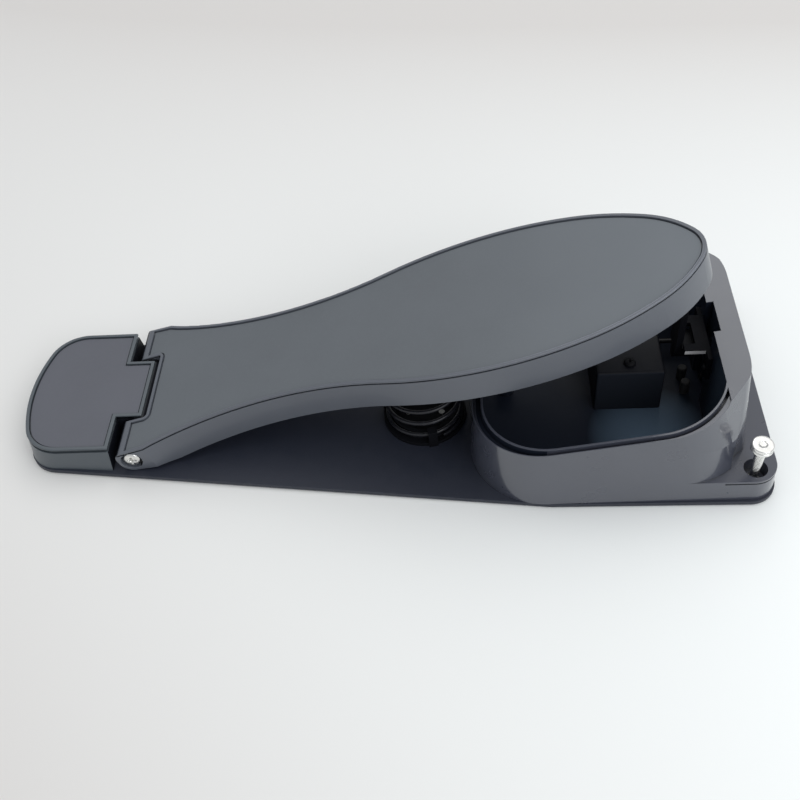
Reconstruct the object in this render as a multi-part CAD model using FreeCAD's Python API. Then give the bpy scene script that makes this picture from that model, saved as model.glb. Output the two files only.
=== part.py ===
# Hi-hat control pedal: a hinged footboard over a steel base plate, with a return spring,
# a toe housing that holds the position sensor, and two anchor bolts.
# Millimetres. +X runs from heel to toe, +Y to the far side, +Z up. The floor is z = 0 and
# the origin is under the middle of the base plate.

import FreeCAD, Part
import math
import os

from FreeCAD import Vector

os.makedirs("parts", exist_ok=True)

# Footboard: s runs along the board from the hinge axis, n stands square to it
pedal_angle = 16.74            # slope of the footboard at rest, degrees
press_angle = 4.4              # how far the footboard turns down, degrees
board_reach = 271.6            # hinge axis to the tip of the toe, along the board
board_top = 6.5                # top face above the hinge axis
board_top_thickness = 3.0
board_wall = 2.6
board_edge_radius = 0.45
skirt_bottom = -9.8            # lower edge of the skirt, measured from the hinge axis
skirt_rise_end = 20.0          # the lower edge rises to the ears from here
ear_radius = 6.5               # round end of the hinge ears
ear_top_radius = 4.0
ear_half_width = 40.9
ear_straight = 9.0             # length of the straight part of the ears past the axis
ear_shoulder_half_width = 40.3
ear_block_length = 13.0        # the ears are solid up to here
notch_depth = 6.9              # the slot for the heel tongue, past the axis
notch_radius = 1.7
# half outline of the toe from its tip back to the widest place, as tangent arcs
toe_radii = (17.8, 52.3, 116.5, 179.0)
toe_turn_angles = (33.2, 28.2, 16.7, 11.9)
# the waist: one arc narrows it, one flares it out to where the ears start
waist_turn_angles = (15.5, -34.0)
flare_end = 14.15              # past the axis
flare_half_width = 38.33
grip_inset = 1.7               # rim left round the grip sheets
grip_recess = 1.6
grip_thickness = 0.9
grip_gap = 0.6                 # open groove round the sheets
shadow_line_height = 0.8       # groove that runs round under the rim
shadow_line_depth = 0.6
shadow_line_drop = 0.7
rib_thickness = 1.8
rib_bottom = -3.6
cross_rib_bottom = -2.6
rib_half_spacing = 13.0
rib_end_clearance = 14.0
cross_rib_pitch = 38.0

# Hinge
hinge_height = 9.6             # axis above the floor
pin_diameter = 6.0
pin_fit = 0.02
hinge_running_clearance = 0.05
bush_wall = 1.2
bush_flange_thickness = 1.9
bush_flange_radius = 5.1
bush_side_clearance = 0.3
hinge_head_radius = 4.3
hinge_head_height = 2.4
hinge_head_sink = 0.4          # the head lies this far below the face of the ear
hinge_head_clearance = 0.8
hinge_drive_radius = 1.5
hinge_drive_depth = 1.2
hinge_washer_radius = 4.7
hinge_washer_thickness = 0.6
hinge_washer_lift = 0.3
hinge_screw_radius = 1.9
hinge_screw_length = 10.0

# Heel block
heel_to_hinge = 57.2           # rear end of the heel block to the hinge axis
heel_height = 16.0             # top of the rim above the floor
heel_half_width = 37.8
heel_end_radius = 80.0
heel_end_slope = 16.8          # how far the rear end bulges, degrees
heel_corner_radius = 18.5
heel_face_to_hinge = 10.7      # end of the wide part, before the axis
tongue_half_width = 18.0
tongue_past_hinge = 1.9
heel_wall = 2.8
heel_top_thickness = 3.4
heel_foot_rear_half_width = 37.7
heel_foot_front_half_width = 40.6
heel_foot_corner_radius = 15.5
heel_foot_overhang = 1.0       # the foot reaches this far behind the rim
heel_line_height = 2.0         # shadow groove under the rim of the heel block
heel_line_depth = 0.9
barrel_radius = 5.6
boss_radius = 4.0
heel_boss_inset = 11.0

# Base plate and its pads
pad_height = 0.8
plate_thickness = 2.0
plate_margin = 1.2             # plate beyond the heel block and beside the housing
plate_toe_margin = 1.0         # plate beyond the bolt flange
plate_shoulder_half_width = 66.3
plate_toe_corner_radius = 12.0
plate_shoulder_radius = 60.0
plate_heel_margin = 0.3        # plate beyond the foot of the heel block
plate_side_margin = 1.4        # plate beyond the foot of the housing
pad_width = 12.0
pad_side_inset = 7.0

# Toe housing
toe_to_wall = 3.6              # tip of the toe to the inner face of the front wall
housing_length = 119.1         # rear wall to front face, outside, at the rim
front_wall_thickness = 12.4
toe_ledge = 11.75              # flange in front of the front wall
flange_height = 14.7           # top of the bolt flange above the floor
flange_corner_radius = 11.0
housing_half_width = 64.8      # at the rim
housing_draft = 0.04           # wall slope, mm of inset for each mm of height
housing_rear_radius = 33.0
housing_front_radius_foot = 29.0  # outer corner at the front, at the flange top
housing_front_radius_rim = 38.5   # outer corner at the front, at the rim
well_front_radius_foot = 28.0     # front corner of the well, on the outer line of its wall
well_front_radius_rim = 33.6
well_corner_reach = 1.5        # how far those corners run past the inner face of the front wall
rim_height = 37.3              # at the reference point below
rim_reference = 86.3           # back from the front face, where rim_height is measured
rim_slope = 0.169
housing_wall = 2.6
rear_wall_thickness = 4.8
housing_floor_thickness = 2.4
lip_width = 0.95               # raised inner lip of the rim
rim_edge_width = 0.4           # outer edge of the rim, outside the groove
lip_height = 1.3
lip_line_depth = 2.4           # shadow groove between the lip and the edge
flange_line_height = 0.7       # shadow groove round the bolt flange
flange_line_depth = 0.5
flange_line_drop = 1.0
flange_line_back = 12.0        # how far it runs back from the front wall
trim_depths = (-1.0, 26.0)     # below the rim: upper and lower end of the corner trim
trim_side_steps = (24.9, 17.6)    # from the corner back along the side, at both ends
trim_front_steps = (29.6, 17.6)   # from the corner inwards along the front
trim_side_radii = (31.4, 29.8)
trim_front_radii = (17.0, 29.8)
trim_margin = 0.2
shell_thickness = 2.2          # outer skin of the hollow front wall
sensor_bay_half_width = 30.0
channel_half_width = 9.3       # upright channel in the inner face of the front wall
channel_depth = 3.0
channel_wall = 1.6
scoop_radius = 10.5            # room for the bolt head at the housing corner
housing_screw_from_rear = 16.0
housing_screw_side_step = 14.0
housing_screw_from_side = 9.0
housing_screw_from_front = 11.0
housing_screw_from_corner = 17.0
bay_roof = 3.0                 # plastic left above the sensor bay

# Anchor bolts
bolt_from_front = 9.65         # bolt axis from the front edge of the flange top
bolt_from_side = 6.6           # bolt axis from the side of the housing
bolt_radius = 2.45
bolt_head_radius = 4.8
bolt_head_height = 3.3
bolt_head_top = 31.5
bolt_tip_height = 4.0
far_bolt_lower = 3.8           # the far bolt is screwed further down by this
bolt_pocket_radius = 5.1
bolt_socket_radius = 2.0
bolt_socket_depth = 1.6
nut_height = 4.0
nut_across_flats = 8.0
nut_bore_radius = 2.5
nut_pocket_clearance = 0.1

# Return spring
spring_to_housing = 1.68       # seat of the spring to the foot of the rear wall
spring_offset = -11.5          # towards the near side
spring_radius = 17.6           # to the middle of the wire
wire_radius = 0.95
spring_pitch = 8.0
spring_end_pitch = 2.5
spring_end_turns = 0.75
spring_start_angle = -60.0
spring_seat_gap = 0.05
cup_floor = 1.6
cup_rim_height = 4.2
cup_clearance = 0.4
claw_width = 4.2
claw_thickness = 1.7
cup_disc_margin = 0.8
seat_margin = 1.6
claw_reach = 2.2
claw_gap = 0.6                 # between the coil and the lip of a claw
claw_lip = 2.0
claw_angles = (-78.0, 42.0, 162.0)

# Toe hook, stop and sensor
hook_half_width = 6.0
hook_thickness = 3.0
hook_from_wall = 11.4          # front face of the hook arm to the inner face of the wall
hook_foot_length = 8.0
hook_foot_thickness = 3.0
hook_plate_length = 26.0
hook_plate_thickness = 2.4
hook_gusset_length = 9.0
hook_gusset_height = 14.0
hook_gusset_thickness = 1.8
hook_screw_from_arm = 13.0
hook_screw_step = 10.0
stop_gap = 0.3
ledge_length = 11.4
ledge_half_width = 11.4
ledge_top = 40.0
ledge_thickness = 2.0
ledge_leg_drop = 13.0
ledge_slot_depth = 5.2
ledge_slot_clearance = 0.6
stop_rubber_thickness = 1.5
lever_half_thickness = 0.6
lever_height = 3.0
lever_grip_clearance = 0.7
lever_tip_clearance = 2.5
tine_thickness = 2.0
tine_length = 6.0
sensor_half_width = 4.5
sensor_depth = 4.8
sensor_bottom = 5.6
sensor_height = 33.0
sensor_skin = 0.6
sensor_gap = 0.2
sensor_slot_clearance = 0.3
sensor_screw_bite = 3.0
sensor_screw_inset = 1.5
sensor_screw_side = 3.0        # the screws sit beside the path of the lever
slot_side_clearance = 0.6
carriage_clearance = 0.25

# Circuit board, its cover and the socket
cover_length = 31.0
cover_from_wall = 18.9
cover_near_side = -14.2
cover_far_gap = 1.2
cover_height = 24.8
cover_wall = 1.6
board_thickness = 1.6
board_lift = 3.0
board_edge_gap = 1.4
board_hole_clearance = 0.3
post_radius = 3.0
post_foot_radius = 4.4
cover_screw_bite = 8.0         # thread below the cover
cover_screw_drive_radius = 1.1
cover_screw_drive_depth = 1.0
post_positions = (-8.0, 27.0)
socket_half_width = 7.0
socket_height = 12.4
socket_depth = 24.0
socket_bore_radius = 3.25
socket_back = 1.5              # case left behind the bore
socket_wall_gap = 0.6
socket_thread_end = 0.4        # barrel past the nut
socket_barrel_radius = 4.7
socket_seat = 1.0              # depth of the flat seat cut in the wall
socket_seat_margin = 1.4
socket_nut_across_flats = 12.7
socket_nut_height = 1.8
socket_washer_radius = 6.6
socket_washer_thickness = 0.5
lead_radius = 1.2
lead_offset = 22.0
lead_bend_radius = 9.0

# Screws and small fasteners
screw_radius = 1.5
screw_head_radius = 2.8
screw_head_height = 1.7
plate_screw_head_radius = 3.2
plate_screw_length = 9.0
plate_screw_drive_radius = 1.2
plate_screw_drive_depth = 1.0
screw_end_room = 0.3
small_screw_radius = 1.0
small_screw_head_radius = 1.8
small_screw_head_height = 1.2
small_screw_drive_radius = 0.8
small_screw_drive_depth = 0.6
screw_fit = 0.02
bumper_radius = 2.2
bumper_stem_radius = 1.2
bumper_half_spacing = 4.4
tine_half_width = 1.8

# Reach of the blocks that trim other shapes, past every part
beyond = 400.0

# Places that follow from the sizes above
slope = math.radians(pedal_angle)
cos_slope = math.cos(slope)
sin_slope = math.sin(slope)
plate_top = pad_height + plate_thickness
toe_tip_reach = board_reach * cos_slope - skirt_bottom * sin_slope
hinge_to_wall = toe_tip_reach + toe_to_wall
base_length = (plate_margin + heel_to_hinge + hinge_to_wall + front_wall_thickness
               + toe_ledge + plate_toe_margin)
heel_end = -base_length / 2 + plate_margin
hinge_x = heel_end + heel_to_hinge
wall_inner = hinge_x + hinge_to_wall
front_face = wall_inner + front_wall_thickness
flange_edge = front_face + toe_ledge
toe_end = base_length / 2
housing_rear = front_face - housing_length
floor_top = plate_top + housing_floor_thickness
bolt_x = flange_edge - bolt_from_front
bolt_half_spacing = housing_half_width - bolt_from_side
housing_foot_rear = housing_rear - housing_draft * (rim_height - plate_top)
cup_radius = spring_radius + wire_radius + cup_clearance + cup_disc_margin
spring_x = housing_foot_rear - spring_to_housing - cup_radius
board_under = board_top - board_top_thickness
barrel_bore = pin_diameter / 2 + pin_fit
countersink_depth = plate_thickness - 0.3
plate_screw_hole_top = plate_top + plate_screw_length + screw_end_room
bush_bore = pin_diameter / 2 + hinge_running_clearance
bush_radius = bush_bore + bush_wall
notch_half_width = tongue_half_width + bush_side_clearance + bush_flange_thickness


def rim_z(x):
    """Height of the rim's lip at a place along the housing."""
    return rim_height + rim_slope * (x - (front_face - rim_reference))


def save(shape, name):
    shape.exportStep("parts/" + name + ".step")
    print(name, len(shape.Solids), "solids, volume", round(shape.Volume, 1))


# Small geometry helpers


def box(x0, x1, y0, y1, z0, z1):
    return Part.makeBox(x1 - x0, y1 - y0, z1 - z0, Vector(x0, y0, z0))


def rod(radius, start, end):
    axis = end.sub(start)
    return Part.makeCylinder(radius, axis.Length, start, axis)


def upright(radius, x, y, z0, z1):
    return rod(radius, Vector(x, y, z0), Vector(x, y, z1))


def along_x(radius, x0, x1, y, z):
    return rod(radius, Vector(x0, y, z), Vector(x1, y, z))


def along_y(radius, x, z, y0, y1):
    """A rod along Y whose two ends may come in either order."""
    return rod(radius, Vector(x, min(y0, y1), z), Vector(x, max(y0, y1), z))


def group(shapes):
    return Part.makeCompound(shapes)


def inset_polygon(points, distance):
    """Moves every side of a counterclockwise polygon inwards by its own distance."""
    count = len(points)
    if not hasattr(distance, "__len__"):
        distance = [distance] * count
    lines = []
    for i in range(count):
        a = Vector(points[i][0], points[i][1], 0)
        b = Vector(points[(i + 1) % count][0], points[(i + 1) % count][1], 0)
        along = b.sub(a).normalize()
        inward = Vector(-along.y, along.x, 0)
        lines.append((a.add(inward.multiply(distance[i])), along))
    moved = []
    for i in range(count):
        p, u = lines[i - 1]
        q, v = lines[i]
        cross = u.x * v.y - u.y * v.x
        t = ((q.x - p.x) * v.y - (q.y - p.y) * v.x) / cross
        moved.append((p.x + u.x * t, p.y + u.y * t))
    return moved


def inset_radii(points, radii, distance):
    """Corner radii of the inset polygon: outer corners shrink, inner corners grow."""
    result = []
    count = len(points)
    for i in range(count):
        ax, ay = points[i - 1]
        bx, by = points[i]
        cx, cy = points[(i + 1) % count]
        turn = (bx - ax) * (cy - by) - (by - ay) * (cx - bx)
        if radii[i] == 0:
            result.append(0)
        elif turn > 0:
            result.append(max(radii[i] - distance, 0.2))
        else:
            result.append(radii[i] + distance)
    return result


def rounded_wire(points, radii, z):
    """A closed wire of lines and arcs round a polygon at height z."""
    count = len(points)
    corners = []
    for i in range(count):
        p = Vector(points[i][0], points[i][1], z)
        before = Vector(points[i - 1][0], points[i - 1][1], z).sub(p).normalize()
        after = Vector(points[(i + 1) % count][0], points[(i + 1) % count][1], z).sub(p).normalize()
        if radii[i] == 0:
            corners.append((p, None, p))
            continue
        opening = before.getAngle(after)
        reach = radii[i] / math.tan(opening / 2)
        middle = before.add(after).normalize()
        depth = radii[i] / math.sin(opening / 2) - radii[i]
        start = p.add(Vector(before).multiply(reach))
        end = p.add(Vector(after).multiply(reach))
        corners.append((start, p.add(middle.multiply(depth)), end))
    edges = []
    for i in range(count):
        start, through, end = corners[i]
        if through is not None:
            edges.append(Part.Arc(start, through, end).toShape())
        following = corners[(i + 1) % count][0]
        if end.distanceToPoint(following) > 1e-6:
            edges.append(Part.makeLine(end, following))
    return Part.Wire(edges)


def slab(wire, height):
    return Part.Face(wire).extrude(Vector(0, 0, height))


def polygon_slab(points, radii, z0, z1):
    return slab(rounded_wire(points, radii, z0), z1 - z0)


def hexagon(across_flats, x, y, z, height):
    radius = across_flats / math.sqrt(3)
    points = [(x + radius * math.cos(math.radians(60 * k)), y + radius * math.sin(math.radians(60 * k)))
              for k in range(6)]
    return polygon_slab(points, [0] * 6, z, z + height)


def to_board(shape):
    """Carries a shape from the board's own frame to its place at rest."""
    shape.rotate(Vector(0, 0, 0), Vector(0, 1, 0), -pedal_angle)
    shape.translate(Vector(hinge_x, 0, hinge_height))
    return shape


def from_board(shape):
    """Carries a shape from its place at rest into the board's own frame."""
    shape.translate(Vector(-hinge_x, 0, -hinge_height))
    shape.rotate(Vector(0, 0, 0), Vector(0, 1, 0), pedal_angle)
    return shape


def board_point(s, n):
    """Place at rest, as x and z, of a point of the board's own frame."""
    return (hinge_x + s * cos_slope - n * sin_slope, hinge_height + s * sin_slope + n * cos_slope)


def board_station(x, n):
    """The s of the board that lies at x, at height n above the axis plane."""
    return (x - hinge_x + n * sin_slope) / cos_slope


# Outlines


def arc_step(heading, turn):
    """How far an arc of radius 1 goes while it turns from a heading."""
    a = math.radians(heading)
    b = math.radians(heading + turn)
    sign = 1 if turn > 0 else -1
    return Vector(math.sin(b) - math.sin(a), math.cos(a) - math.cos(b), 0).multiply(sign)


def board_arcs():
    """Radius and turn of every arc of the half outline. The waist's two radii follow from its ends."""
    place = Vector(board_reach, 0, 0)
    heading = 90.0
    for radius, turn in zip(toe_radii, toe_turn_angles):
        place = place.add(arc_step(heading, turn).multiply(radius))
        heading += turn
    narrowing = arc_step(heading, waist_turn_angles[0])
    flare = arc_step(heading + waist_turn_angles[0], waist_turn_angles[1])
    gap = Vector(flare_end, flare_half_width, 0).sub(place)
    cross = narrowing.x * flare.y - narrowing.y * flare.x
    waist_radii = ((gap.x * flare.y - gap.y * flare.x) / cross,
                   (narrowing.x * gap.y - narrowing.y * gap.x) / cross)
    return list(zip(toe_radii, toe_turn_angles)) + list(zip(waist_radii, waist_turn_angles))


def board_side_edges(inset, rear, side):
    """Edges of one side of the board's outline, from the toe tip back to the ears."""
    position = Vector(board_reach - inset, 0, 0)
    heading = 90.0
    edges = []
    for radius, turn in board_arcs():
        r = radius - inset if turn > 0 else radius + inset
        halfway = position.add(arc_step(heading, turn / 2).multiply(r))
        end = position.add(arc_step(heading, turn).multiply(r))
        edges.append(Part.Arc(position, halfway, end).toShape())
        position = end
        heading += turn
    shoulder = Vector(ear_straight, ear_shoulder_half_width - inset, 0)
    corner = Vector(rear, ear_half_width - inset, 0)
    edges.append(Part.makeLine(position, shoulder))
    edges.append(Part.makeLine(shoulder, corner))
    if side < 0:
        edges = [edge.mirror(Vector(0, 0, 0), Vector(0, 1, 0)) for edge in edges]
    return edges


def board_wire(inset, rear):
    """The board's outline with its notch, moved inwards by inset."""
    edges = board_side_edges(inset, rear, 1)
    half = notch_half_width + inset
    end = notch_depth + inset
    r = notch_radius + inset
    bend = r * (1 - math.sqrt(0.5))
    points = [Vector(rear, ear_half_width - inset, 0), Vector(rear, half, 0), Vector(end - r, half, 0)]
    edges.append(Part.makeLine(points[0], points[1]))
    edges.append(Part.makeLine(points[1], points[2]))
    edges.append(Part.Arc(points[2], Vector(end - bend, half - bend, 0),
                          Vector(end, half - r, 0)).toShape())
    edges.append(Part.makeLine(Vector(end, half - r, 0), Vector(end, -half + r, 0)))
    edges.append(Part.Arc(Vector(end, -half + r, 0), Vector(end - bend, -half + bend, 0),
                          Vector(end - r, -half, 0)).toShape())
    edges.append(Part.makeLine(Vector(end - r, -half, 0), Vector(rear, -half, 0)))
    edges.append(Part.makeLine(Vector(rear, -half, 0), Vector(rear, -ear_half_width + inset, 0)))
    edges += board_side_edges(inset, rear, -1)
    return Part.Wire(Part.__sortEdges__(edges))


def board_slab(inset, rear, n0, n1):
    shape = slab(board_wire(inset, rear), n1 - n0)
    shape.translate(Vector(0, 0, n0))
    return shape


def heel_points(rear_half=heel_half_width, front_half=heel_half_width, corner=heel_corner_radius, overhang=0):
    """Outline of the heel block with its tongue, counterclockwise."""
    bulge = math.tan(math.radians(heel_end_slope))
    apex = heel_end_radius / math.cos(math.radians(heel_end_slope)) - heel_end_radius
    face = hinge_x - heel_face_to_hinge
    tip = hinge_x + tongue_past_hinge
    rear = heel_end - apex - overhang
    points = [(rear, 0), (rear + bulge * rear_half, -rear_half), (face, -front_half),
              (face, -tongue_half_width), (tip, -tongue_half_width), (tip, tongue_half_width),
              (face, tongue_half_width), (face, front_half), (rear + bulge * rear_half, rear_half)]
    radii = [heel_end_radius, corner, 0.6, 0, 0.6, 0.6, 0, 0.6, corner]
    return points, radii


def heel_slab(inset, z0, z1):
    points, radii = heel_points()
    return polygon_slab(inset_polygon(points, inset), inset_radii(points, radii, inset), z0, z1)


def front_height():
    return rim_z(front_face)


def front_radius(z, foot, rim):
    """Front corner radius at height z, from the flange top up to the rim."""
    share = (z - flange_height) / (front_height() - flange_height)
    return foot + share * (rim - foot)


def housing_points(z):
    """Outline of the drafted housing wall at height z, counterclockwise."""
    lean = housing_draft * (rim_height - z)
    half = housing_half_width + lean
    rear = housing_rear - lean
    front = front_face + lean
    points = [(rear, -half), (front, -half), (front, half), (rear, half)]
    radius = front_radius(z, housing_front_radius_foot, housing_front_radius_rim)
    return points, [housing_rear_radius, radius, radius, housing_rear_radius]


def housing_loft(z0, z1):
    """The drafted outside of the housing."""
    wires = [rounded_wire(*housing_points(z), z) for z in (z0, z1)]
    return Part.makeLoft(wires, True, True)


def well_points(z):
    """Outline of the wall round the well at height z, counterclockwise."""
    lean = housing_draft * (rim_height - z)
    half = housing_half_width + lean
    rear = housing_rear - lean
    front = wall_inner + well_corner_reach + housing_wall + lean
    points = [(rear, -half), (front, -half), (front, half), (rear, half)]
    radius = front_radius(z, well_front_radius_foot, well_front_radius_rim)
    return points, [housing_rear_radius, radius, radius, housing_rear_radius]


def well_loft(z0, z1, insets):
    """A drafted solid that follows the wall of the well, moved inwards side by side."""
    wires = []
    for z in (z0, z1):
        points, radii = well_points(z)
        shrink = insets[0]
        wires.append(rounded_wire(inset_polygon(points, insets), inset_radii(points, radii, shrink), z))
    return Part.makeLoft(wires, True, True)


def plate_points(margin):
    """Outline of the base plate, wider at the toe, less a margin."""
    bulge = math.tan(math.radians(heel_end_slope))
    apex = heel_end_radius / math.cos(math.radians(heel_end_slope)) - heel_end_radius
    rear = -base_length / 2 - apex
    heel_half = heel_foot_rear_half_width + plate_heel_margin
    shoulder_x = housing_rear + housing_rear_radius
    toe_half = housing_half_width + housing_draft * rim_height + plate_side_margin
    points = [(rear, 0), (rear + bulge * heel_half, -heel_half),
              (shoulder_x, -plate_shoulder_half_width), (toe_end, -toe_half), (toe_end, toe_half),
              (shoulder_x, plate_shoulder_half_width), (rear + bulge * heel_half, heel_half)]
    heel_corner = heel_foot_corner_radius + plate_heel_margin
    radii = [heel_end_radius, heel_corner, plate_shoulder_radius, plate_toe_corner_radius,
             plate_toe_corner_radius, plate_shoulder_radius, heel_corner]
    return inset_polygon(points, margin), inset_radii(points, radii, margin)


def flange_points(z):
    lean = housing_draft * (rim_height - z)
    half = housing_half_width + lean
    rear = front_face - 2 * housing_front_radius_rim
    front = flange_edge + housing_draft * (flange_height - z)
    points = [(rear, -half), (front, -half), (front, half), (rear, half)]
    return points, [0, flange_corner_radius, flange_corner_radius, 0]


# Screws


def pan_screw(radius, head_radius, head_height, length, seat, direction, drive_radius, drive_depth):
    """A pan head screw that seats at a point and runs along a direction, with a driver recess."""
    direction = Vector(direction).normalize()
    head_end = seat.sub(Vector(direction).multiply(head_height))
    shank = rod(radius, seat, seat.add(Vector(direction).multiply(length)))
    head = rod(head_radius, head_end, seat)
    rim = [e for e in head.Edges if e.Length > 4 and (e.CenterOfMass - head_end).Length < 1e-3]
    head = head.makeFillet(min(head_height, head_radius) * 0.35, rim)
    drive = rod(drive_radius, head_end, head_end.add(Vector(direction).multiply(drive_depth)))
    return head.fuse(shank).cut(drive)


def small_screw(length, seat, direction):
    return pan_screw(small_screw_radius, small_screw_head_radius, small_screw_head_height, length,
                     seat, direction, small_screw_drive_radius, small_screw_drive_depth)


def plate_screws():
    """Where screws come up through the base plate into the heel block."""
    heel_x0 = heel_end + heel_corner_radius + 2
    heel_x1 = hinge_x - heel_face_to_hinge - heel_boss_inset
    heel_y = heel_half_width - heel_boss_inset
    spots = [(heel_x0, heel_y), (heel_x0, -heel_y), (heel_x1, heel_y), (heel_x1, -heel_y)]
    return spots


def housing_screws():
    rear_x = housing_rear + housing_screw_from_rear
    side_x = rear_x + housing_screw_side_step
    side = housing_half_width - housing_screw_from_side
    front_x = wall_inner - housing_screw_from_front
    front_side = housing_half_width - housing_screw_from_corner
    return [(side_x, side), (side_x, -side), (rear_x, 0), (front_x, front_side), (front_x, -front_side)]


def countersunk_screw(x, y, length):
    """A countersunk screw that comes up through the plate from below."""
    shank = upright(screw_radius, x, y, pad_height, plate_top + length)
    cone = Part.makeCone(plate_screw_head_radius, screw_radius, countersink_depth, Vector(x, y, pad_height))
    drive = upright(plate_screw_drive_radius, x, y, pad_height, pad_height + plate_screw_drive_depth)
    return shank.fuse(cone).cut(drive)


def countersunk_hole(x, y):
    shank = upright(screw_radius + screw_fit, x, y, 0, plate_top + 1)
    cone = Part.makeCone(plate_screw_head_radius + screw_fit, screw_radius + screw_fit, countersink_depth,
                         Vector(x, y, pad_height))
    return shank.fuse(cone)


# Base


def spring_cup_screw_spots():
    return [(spring_x - 8, spring_offset), (spring_x + 8, spring_offset)]


def make_base_plate():
    points, radii = plate_points(0)
    plate = polygon_slab(points, radii, pad_height, plate_top)
    for x, y in plate_screws() + housing_screws() + spring_cup_screw_spots():
        plate = plate.cut(countersunk_hole(x, y))
    for side in (-1, 1):
        plate = plate.cut(upright(bolt_radius + 0.8, bolt_x, side * bolt_half_spacing, 0, plate_top + 1))
    return plate


def make_base_pads():
    """Four flat rubber strips that the plate stands on."""
    pads = []
    heel_x = heel_end + heel_corner_radius + 7
    pads.append(box(heel_x + 4, heel_x + 4 + pad_width, -16, 16, 0, pad_height))
    middle = (hinge_x + housing_rear) / 2
    for side in (-1, 1):
        y = side * (plate_shoulder_half_width * 0.62)
        pads.append(box(middle, middle + 46, y - pad_width / 2, y + pad_width / 2, 0, pad_height))
    x1 = toe_end - pad_side_inset
    pads.append(box(x1 - pad_width, x1, -38, 38, 0, pad_height))
    return group(pads)


def make_heel_block():
    top = heel_height
    groove_top = top - shadow_line_drop
    groove_bottom = groove_top - heel_line_height
    rim = heel_slab(0, groove_top, top)
    rim = rim.makeFillet(board_edge_radius, [e for e in rim.Edges if e.BoundBox.ZMin > top - 1e-4])
    neck = heel_slab(heel_line_depth, groove_bottom, groove_top)
    points, radii = heel_points()
    foot_outline = heel_points(heel_foot_rear_half_width, heel_foot_front_half_width,
                               heel_foot_corner_radius, heel_foot_overhang)
    foot = rounded_wire(*foot_outline, plate_top)
    upper = rounded_wire(points, radii, groove_bottom)
    body = Part.makeLoft([foot, upper], True, True)
    axis0 = Vector(hinge_x, -tongue_half_width, hinge_height)
    axis1 = Vector(hinge_x, tongue_half_width, hinge_height)
    shape = body.fuse([neck, rim, rod(barrel_radius, axis0, axis1)])
    shape = shape.cut(heel_slab(grip_inset, top - grip_recess, top + 1))
    face = hinge_x - heel_face_to_hinge
    hollow = heel_slab(heel_wall, plate_top - 1, top - heel_top_thickness)
    hollow = hollow.cut(box(face - heel_wall, hinge_x + 20, -heel_half_width, heel_half_width, 0, top))
    ceiling = top - heel_top_thickness + 0.5
    bosses = [upright(boss_radius, x, y, plate_top, ceiling) for x, y in plate_screws()]
    hollow = hollow.cut(group(bosses))
    shape = shape.cut(hollow)
    shape = shape.cut(rod(barrel_bore, axis0.sub(Vector(0, 1, 0)), axis1.add(Vector(0, 1, 0))))
    for x, y in plate_screws():
        shape = shape.cut(upright(screw_radius + screw_fit, x, y, 0, plate_screw_hole_top))
    return shape.removeSplitter()


def make_heel_pad():
    floor = heel_height - grip_recess
    pad = heel_slab(grip_inset + grip_gap, floor, floor + grip_thickness)
    return pad


def make_heel_screws():
    return group([countersunk_screw(x, y, plate_screw_length) for x, y in plate_screws()])


# Hinge


def hinge_rod(radius, y0, y1):
    return along_y(radius, hinge_x, hinge_height, y0, y1)


def head_outer():
    return ear_half_width - hinge_head_sink


def pin_half_length():
    return head_outer() - hinge_head_height - hinge_washer_thickness


def make_hinge_pin():
    half = pin_half_length()
    pin = hinge_rod(pin_diameter / 2, -half, half)
    depth = hinge_screw_length + 1
    for side in (-1, 1):
        pin = pin.cut(hinge_rod(hinge_screw_radius + screw_fit, side * (half - depth), side * (half + 1)))
    return pin


def make_hinge_washers():
    washers = []
    half = pin_half_length()
    for side in (-1, 1):
        washer = hinge_rod(hinge_washer_radius, side * half, side * (half + hinge_washer_thickness))
        washers.append(washer.cut(hinge_rod(hinge_screw_radius + 0.1, side, side * ear_half_width)))
    return group(washers)


def make_hinge_screws():
    screws = []
    seat = pin_half_length() + hinge_washer_thickness
    for side in (-1, 1):
        screws.append(pan_screw(hinge_screw_radius, hinge_head_radius, hinge_head_height,
                                hinge_screw_length, Vector(hinge_x, side * seat, hinge_height),
                                Vector(0, -side, 0), hinge_drive_radius, hinge_drive_depth))
    return group(screws)


def bush_end():
    return pin_half_length() - hinge_washer_lift


def make_hinge_bushes():
    bushes = []
    for side in (-1, 1):
        inner = tongue_half_width + bush_side_clearance
        flange = hinge_rod(bush_flange_radius, side * inner, side * notch_half_width)
        sleeve = hinge_rod(bush_radius, side * inner, side * bush_end())
        bore = hinge_rod(bush_bore, side * (inner - 1), side * (bush_end() + 1))
        bushes.append(flange.fuse(sleeve).cut(bore))
    return group(bushes)


# Footboard


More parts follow.
